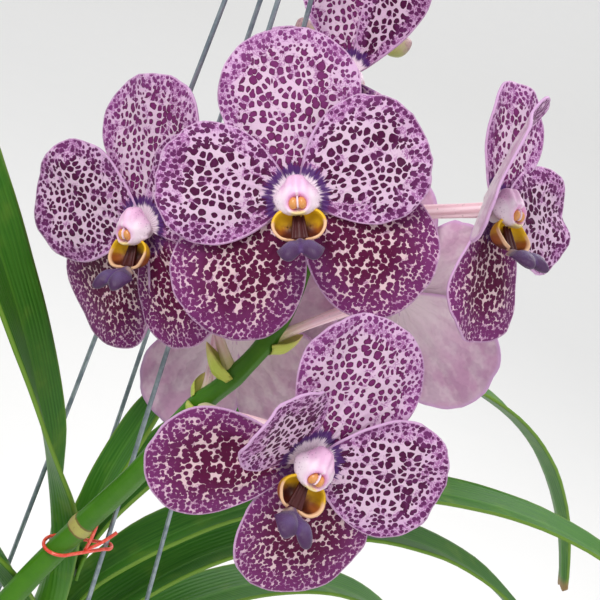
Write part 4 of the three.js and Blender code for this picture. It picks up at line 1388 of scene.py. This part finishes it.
class OrchidBloomSettings(PropertyGroup):
    tepal_thickness: length_field("Tepal thickness", "Thickness of a tepal", 0.0009, 0.003)
    spot_size: length_field("Spot size", "Distance between the middles of neighbouring spots", 0.0027, 0.02)
    dorsal_spots: share_field("Dorsal spots", "the dorsal's", 0.5)
    petal_spots: share_field("Petal spots", "a petal's", 0.53)
    lateral_spots: share_field("Lateral spots", "a lateral's", 0.59)
    ground_colour: colour_field("Ground", "Petal colour between the spots", 214, 173, 208)
    ground_warm_colour: colour_field("Warm ground", "Second colour between the spots", 209, 188, 197)
    margin_colour: colour_field("Margin", "Petal colour near its margin", 206, 162, 202)
    net_colour: colour_field("Net", "Lateral colour between the spots", 216, 186, 190)
    spot_colour: colour_field("Spot", "Middle of a spot", 110, 36, 93)
    petal_spot_colour: colour_field("Petal spot", "Spot colour on the petals", 62, 6, 44)
    deep_colour: colour_field("Deep spot", "Edge of a spot", 80, 12, 58)
    violet_colour: colour_field("Violet spot", "Spot colour near the margin", 124, 56, 118)
    lateral_colour: colour_field("Lateral spot", "Spot colour on the laterals", 85, 14, 55)
    lateral_tip_colour: colour_field("Lateral tip", "Spot colour near a lateral's margin", 119, 49, 108)
    collar_colour: colour_field("Collar", "Fringed collar round the column", 80, 42, 106)
    back_colour: colour_field("Back", "Colour of a tepal's back", 204, 158, 188)
    back_centre_colour: colour_field("Back centre", "Back colour near the stalk", 232, 218, 222)
    back_vein_colour: colour_field("Back veins", "Veins and show-through on the back", 168, 124, 158)
    column_colour: colour_field("Column", "Colour of the column", 246, 226, 236)
    column_flush_colour: colour_field("Column flush", "Column's crest and round its anther", 230, 138, 204)
    anther_colour: colour_field("Anther", "Colour of the anther cap", 214, 132, 62)
    throat_colour: colour_field("Throat", "Inside of the throat's cups", 236, 186, 34)
    throat_dark_colour: colour_field("Throat middle", "Throat towards its middle", 70, 18, 20)
    midlobe_colour: colour_field("Midlobe", "Colour of the lip's midlobe", 68, 28, 76)
    # Midlobe light is a painted highlight on the midlobe's upper side.
    midlobe_highlight_colour: colour_field("Midlobe light", "Lighter parts of the midlobe", 94, 72, 118)


class OrchidGreenSettings(PropertyGroup):
    leaf_thickness: length_field("Leaf thickness", "Thickness of a leaf", 0.0017, 0.005)
    leaf_colour: colour_field("Leaf", "Leaf colour", 42, 102, 14)
    leaf_light_colour: colour_field("Light leaf", "Keel and veins", 86, 142, 40)
    leaf_warm_colour: colour_field("Warm leaf", "Edges and sunlit patches", 122, 154, 50)
    stem_colour: colour_field("Stem", "Stem colour", 98, 132, 56)
    spike_colour: colour_field("Spike", "Stalk colour", 46, 100, 8)
    spike_light_colour: colour_field("Light spike", "Lighter parts of the stalk", 74, 128, 16)
    pedicel_colour: colour_field("Pedicel", "Colour of a bloom's own stalk", 248, 216, 222)
    root_colour: colour_field("Root", "Colour of the roots", 164, 168, 150)
    bud_colour: colour_field("Bud", "Colour of the buds", 160, 166, 92)
    bud_flush_colour: colour_field("Bud flush", "Flush at the buds' tips", 176, 120, 150)
    bud_spot_colour: colour_field("Bud spots", "Spots on the buds", 120, 60, 100)


class OrchidHolderSettings(PropertyGroup):
    chips: IntProperty(name="Bark chips", description="Number of loose chips on the mix", default=96, min=0)
    clay_colour: colour_field("Clay", "Clay colour", 176, 98, 62)
    clay_light_colour: colour_field("Light clay", "Paler clay", 198, 126, 88)
    bark_colour: colour_field("Bark", "Bark colour", 92, 62, 42)
    bark_light_colour: colour_field("Light bark", "Paler chips", 134, 98, 66)
    wire_colour: colour_field("Wire", "Wire colour", 122, 134, 142)
    wire_light_colour: colour_field("Zinc", "Zinc bloom on the wire", 156, 166, 172)
    tie_colour: colour_field("Tie", "Colour of the twist tie", 226, 66, 46)


class OrchidStageSettings(PropertyGroup):
    floor_height: FloatProperty(
        name="Floor height", description="Height above the hook's inside top", default=-0.98, unit="LENGTH"
    )
    floor_colour: colour_field("Floor", "Colour of floor and backdrop", 250, 248, 245)
    world_strength: FloatProperty(name="Sky", description="Strength of the even light", default=0.62, min=0)
    key_power: power_field("Key", "Power of the main light", 14)
    fill_power: power_field("Fill", "Power of the fill light", 4.5)
    rim_power: power_field("Rim", "Power of the light behind", 7)
    backdrop_power: power_field("Backdrop", "Power of the light on the backdrop", 42)
    lens: FloatProperty(name="Lens", description="Focal length", default=83.52, min=1, unit="CAMERA")


# Stage


def add_light(name, light, power):
    """A square light that looks at its target."""
    place, target, size = light
    data = bpy.data.lights.new(name, "AREA")
    data.size = size
    data.energy = power
    lamp = place_object(name, data)
    lamp.location = place
    lamp.rotation_euler = (Vector(target) - Vector(place)).to_track_quat("-Z", "Y").to_euler()
    return lamp


def floor_mesh(settings):
    """The floor and the wall behind it, as one bent sheet."""
    mesh = bmesh.new()
    bmesh.ops.create_grid(mesh, x_segments=1, y_segments=1, size=FLOOR_HALF)
    bmesh.ops.translate(mesh, vec=(0, 0, settings.floor_height), verts=mesh.verts)
    back = [edge for edge in mesh.edges if all(vert.co.y > FLOOR_HALF - 1 for vert in edge.verts)]
    risen = bmesh.ops.extrude_edge_only(mesh, edges=back)["geom"]
    wall = [item for item in risen if isinstance(item, bmesh.types.BMVert)]
    bmesh.ops.translate(mesh, vec=(0, 0, WALL_HEIGHT), verts=wall)
    fold = [edge for edge in mesh.edges if len(edge.link_faces) == 2]
    bmesh.ops.bevel(mesh, geom=fold, offset=WALL_BEND, segments=16, profile=0.5, affect="EDGES", material=-1)
    for face in mesh.faces:
        face.smooth = True
    data = bpy.data.meshes.new("studio_floor")
    mesh.to_mesh(data)
    mesh.free()
    data.materials.append(floor_paint(settings).material)
    return data


def make_stage(settings):
    floor = place_object("studio_floor", floor_mesh(settings))
    key = add_light("key_light", KEY_LIGHT, settings.key_power)
    fill = add_light("fill_light", FILL_LIGHT, settings.fill_power)
    rim = add_light("rim_light", RIM_LIGHT, settings.rim_power)
    back = add_light("backdrop_light", BACKDROP_LIGHT, settings.backdrop_power)

    world = bpy.data.worlds.new("studio_world")
    world.use_nodes = True
    sky = world.node_tree.nodes["Background"]
    sky.inputs["Color"].default_value = SKY_COLOUR
    sky.inputs["Strength"].default_value = settings.world_strength
    scene = bpy.context.scene
    scene.world = world
    scene.view_settings.view_transform = "Standard"

    lens = bpy.data.cameras.new("camera")
    lens.lens = settings.lens
    lens.sensor_width = SENSOR_WIDTH
    lens.clip_start = 0.01
    camera = place_object("camera", lens)
    camera.matrix_world = Matrix.Translation(CAMERA_PLACE) @ Matrix(CAMERA_AXES).to_4x4()
    scene.camera = camera


# Operators


class ORCHID_OT_hanger(Operator):
    """Makes the wire hanger with its hook"""

    bl_idname = "orchid.hanger"
    bl_label = "Hanger"

    def execute(self, context):
        make_hanger(context.scene.orchid_holder)
        return {"FINISHED"}


class ORCHID_OT_pot(Operator):
    """Makes the clay pot"""

    bl_idname = "orchid.pot"
    bl_label = "Pot"

    def execute(self, context):
        make_pot(context.scene.orchid_holder)
        return {"FINISHED"}


class ORCHID_OT_bark(Operator):
    """Makes the bark mix that fills the pot"""

    bl_idname = "orchid.bark"
    bl_label = "Bark mix"

    def execute(self, context):
        make_bark(context.scene.orchid_holder)
        return {"FINISHED"}


class ORCHID_OT_stem(Operator):
    """Makes the stem"""

    bl_idname = "orchid.stem"
    bl_label = "Stem"

    def execute(self, context):
        make_stem(context.scene.orchid_greens)
        return {"FINISHED"}


class ORCHID_OT_roots(Operator):
    """Makes the aerial roots"""

    bl_idname = "orchid.roots"
    bl_label = "Roots"

    def execute(self, context):
        make_roots(context.scene.orchid_greens)
        return {"FINISHED"}


class ORCHID_OT_leaves(Operator):
    """Makes the ten leaves"""

    bl_idname = "orchid.leaves"
    bl_label = "Leaves"

    def execute(self, context):
        make_leaves(context.scene.orchid_greens)
        return {"FINISHED"}


class ORCHID_OT_spike(Operator):
    """Makes the flower spike with its pedicels and bracts"""

    bl_idname = "orchid.spike"
    bl_label = "Flower spike"

    def execute(self, context):
        make_spike(context.scene.orchid_greens)
        return {"FINISHED"}


class ORCHID_OT_tepals(Operator):
    """Makes the seven blooms' tepals"""

    bl_idname = "orchid.tepals"
    bl_label = "Tepals"

    def execute(self, context):
        make_tepals(context.scene.orchid_blooms)
        return {"FINISHED"}


class ORCHID_OT_lips(Operator):
    """Makes each bloom's column and lip"""

    bl_idname = "orchid.lips"
    bl_label = "Columns and lips"

    def execute(self, context):
        make_lips(context.scene.orchid_blooms)
        return {"FINISHED"}


class ORCHID_OT_buds(Operator):
    """Makes the buds at the end of the spike"""

    bl_idname = "orchid.buds"
    bl_label = "Buds"

    def execute(self, context):
        make_buds(context.scene.orchid_greens)
        return {"FINISHED"}


class ORCHID_OT_tie(Operator):
    """Makes the twist tie"""

    bl_idname = "orchid.tie"
    bl_label = "Twist tie"

    def execute(self, context):
        make_tie(context.scene.orchid_holder)
        return {"FINISHED"}


class ORCHID_OT_stage(Operator):
    """Makes the floor, the lights, the sky and the camera"""

    bl_idname = "orchid.stage"
    bl_label = "Stage"

    def execute(self, context):
        make_stage(context.scene.orchid_stage)
        return {"FINISHED"}


OPERATORS = (
    ORCHID_OT_hanger, ORCHID_OT_pot, ORCHID_OT_bark, ORCHID_OT_stem, ORCHID_OT_roots, ORCHID_OT_leaves,
    ORCHID_OT_spike, ORCHID_OT_tepals, ORCHID_OT_lips, ORCHID_OT_buds, ORCHID_OT_tie, ORCHID_OT_stage,
)


class ORCHID_PT_panel(Panel):
    """Lists the pieces that can be made"""

    bl_idname = "ORCHID_PT_panel"
    bl_label = "Hanging Orchid"
    bl_space_type = "VIEW_3D"
    bl_region_type = "UI"
    bl_category = "Orchid"

    def draw(self, context):
        for operator in OPERATORS:
            self.layout.operator(operator.bl_idname)


SETTINGS = {
    "orchid_blooms": OrchidBloomSettings,
    "orchid_greens": OrchidGreenSettings,
    "orchid_holder": OrchidHolderSettings,
    "orchid_stage": OrchidStageSettings,
}


def register():
    for group in (*SETTINGS.values(), *OPERATORS, ORCHID_PT_panel):
        bpy.utils.register_class(group)
    for name, group in SETTINGS.items():
        setattr(bpy.types.Scene, name, PointerProperty(type=group))


def unregister():
    for name in SETTINGS:
        delattr(bpy.types.Scene, name)
    for group in reversed((*SETTINGS.values(), *OPERATORS, ORCHID_PT_panel)):
        bpy.utils.unregister_class(group)


def main():
    register()
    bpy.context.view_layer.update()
    bpy.ops.orchid.hanger()
    bpy.ops.orchid.pot()
    bpy.ops.orchid.bark()
    bpy.ops.orchid.stem()
    bpy.ops.orchid.roots()
    bpy.ops.orchid.leaves()
    bpy.ops.orchid.spike()
    bpy.ops.orchid.tepals()
    bpy.ops.orchid.lips()
    bpy.ops.orchid.buds()
    bpy.ops.orchid.tie()
    bpy.ops.orchid.stage()


if __name__ == "__main__":
    main()
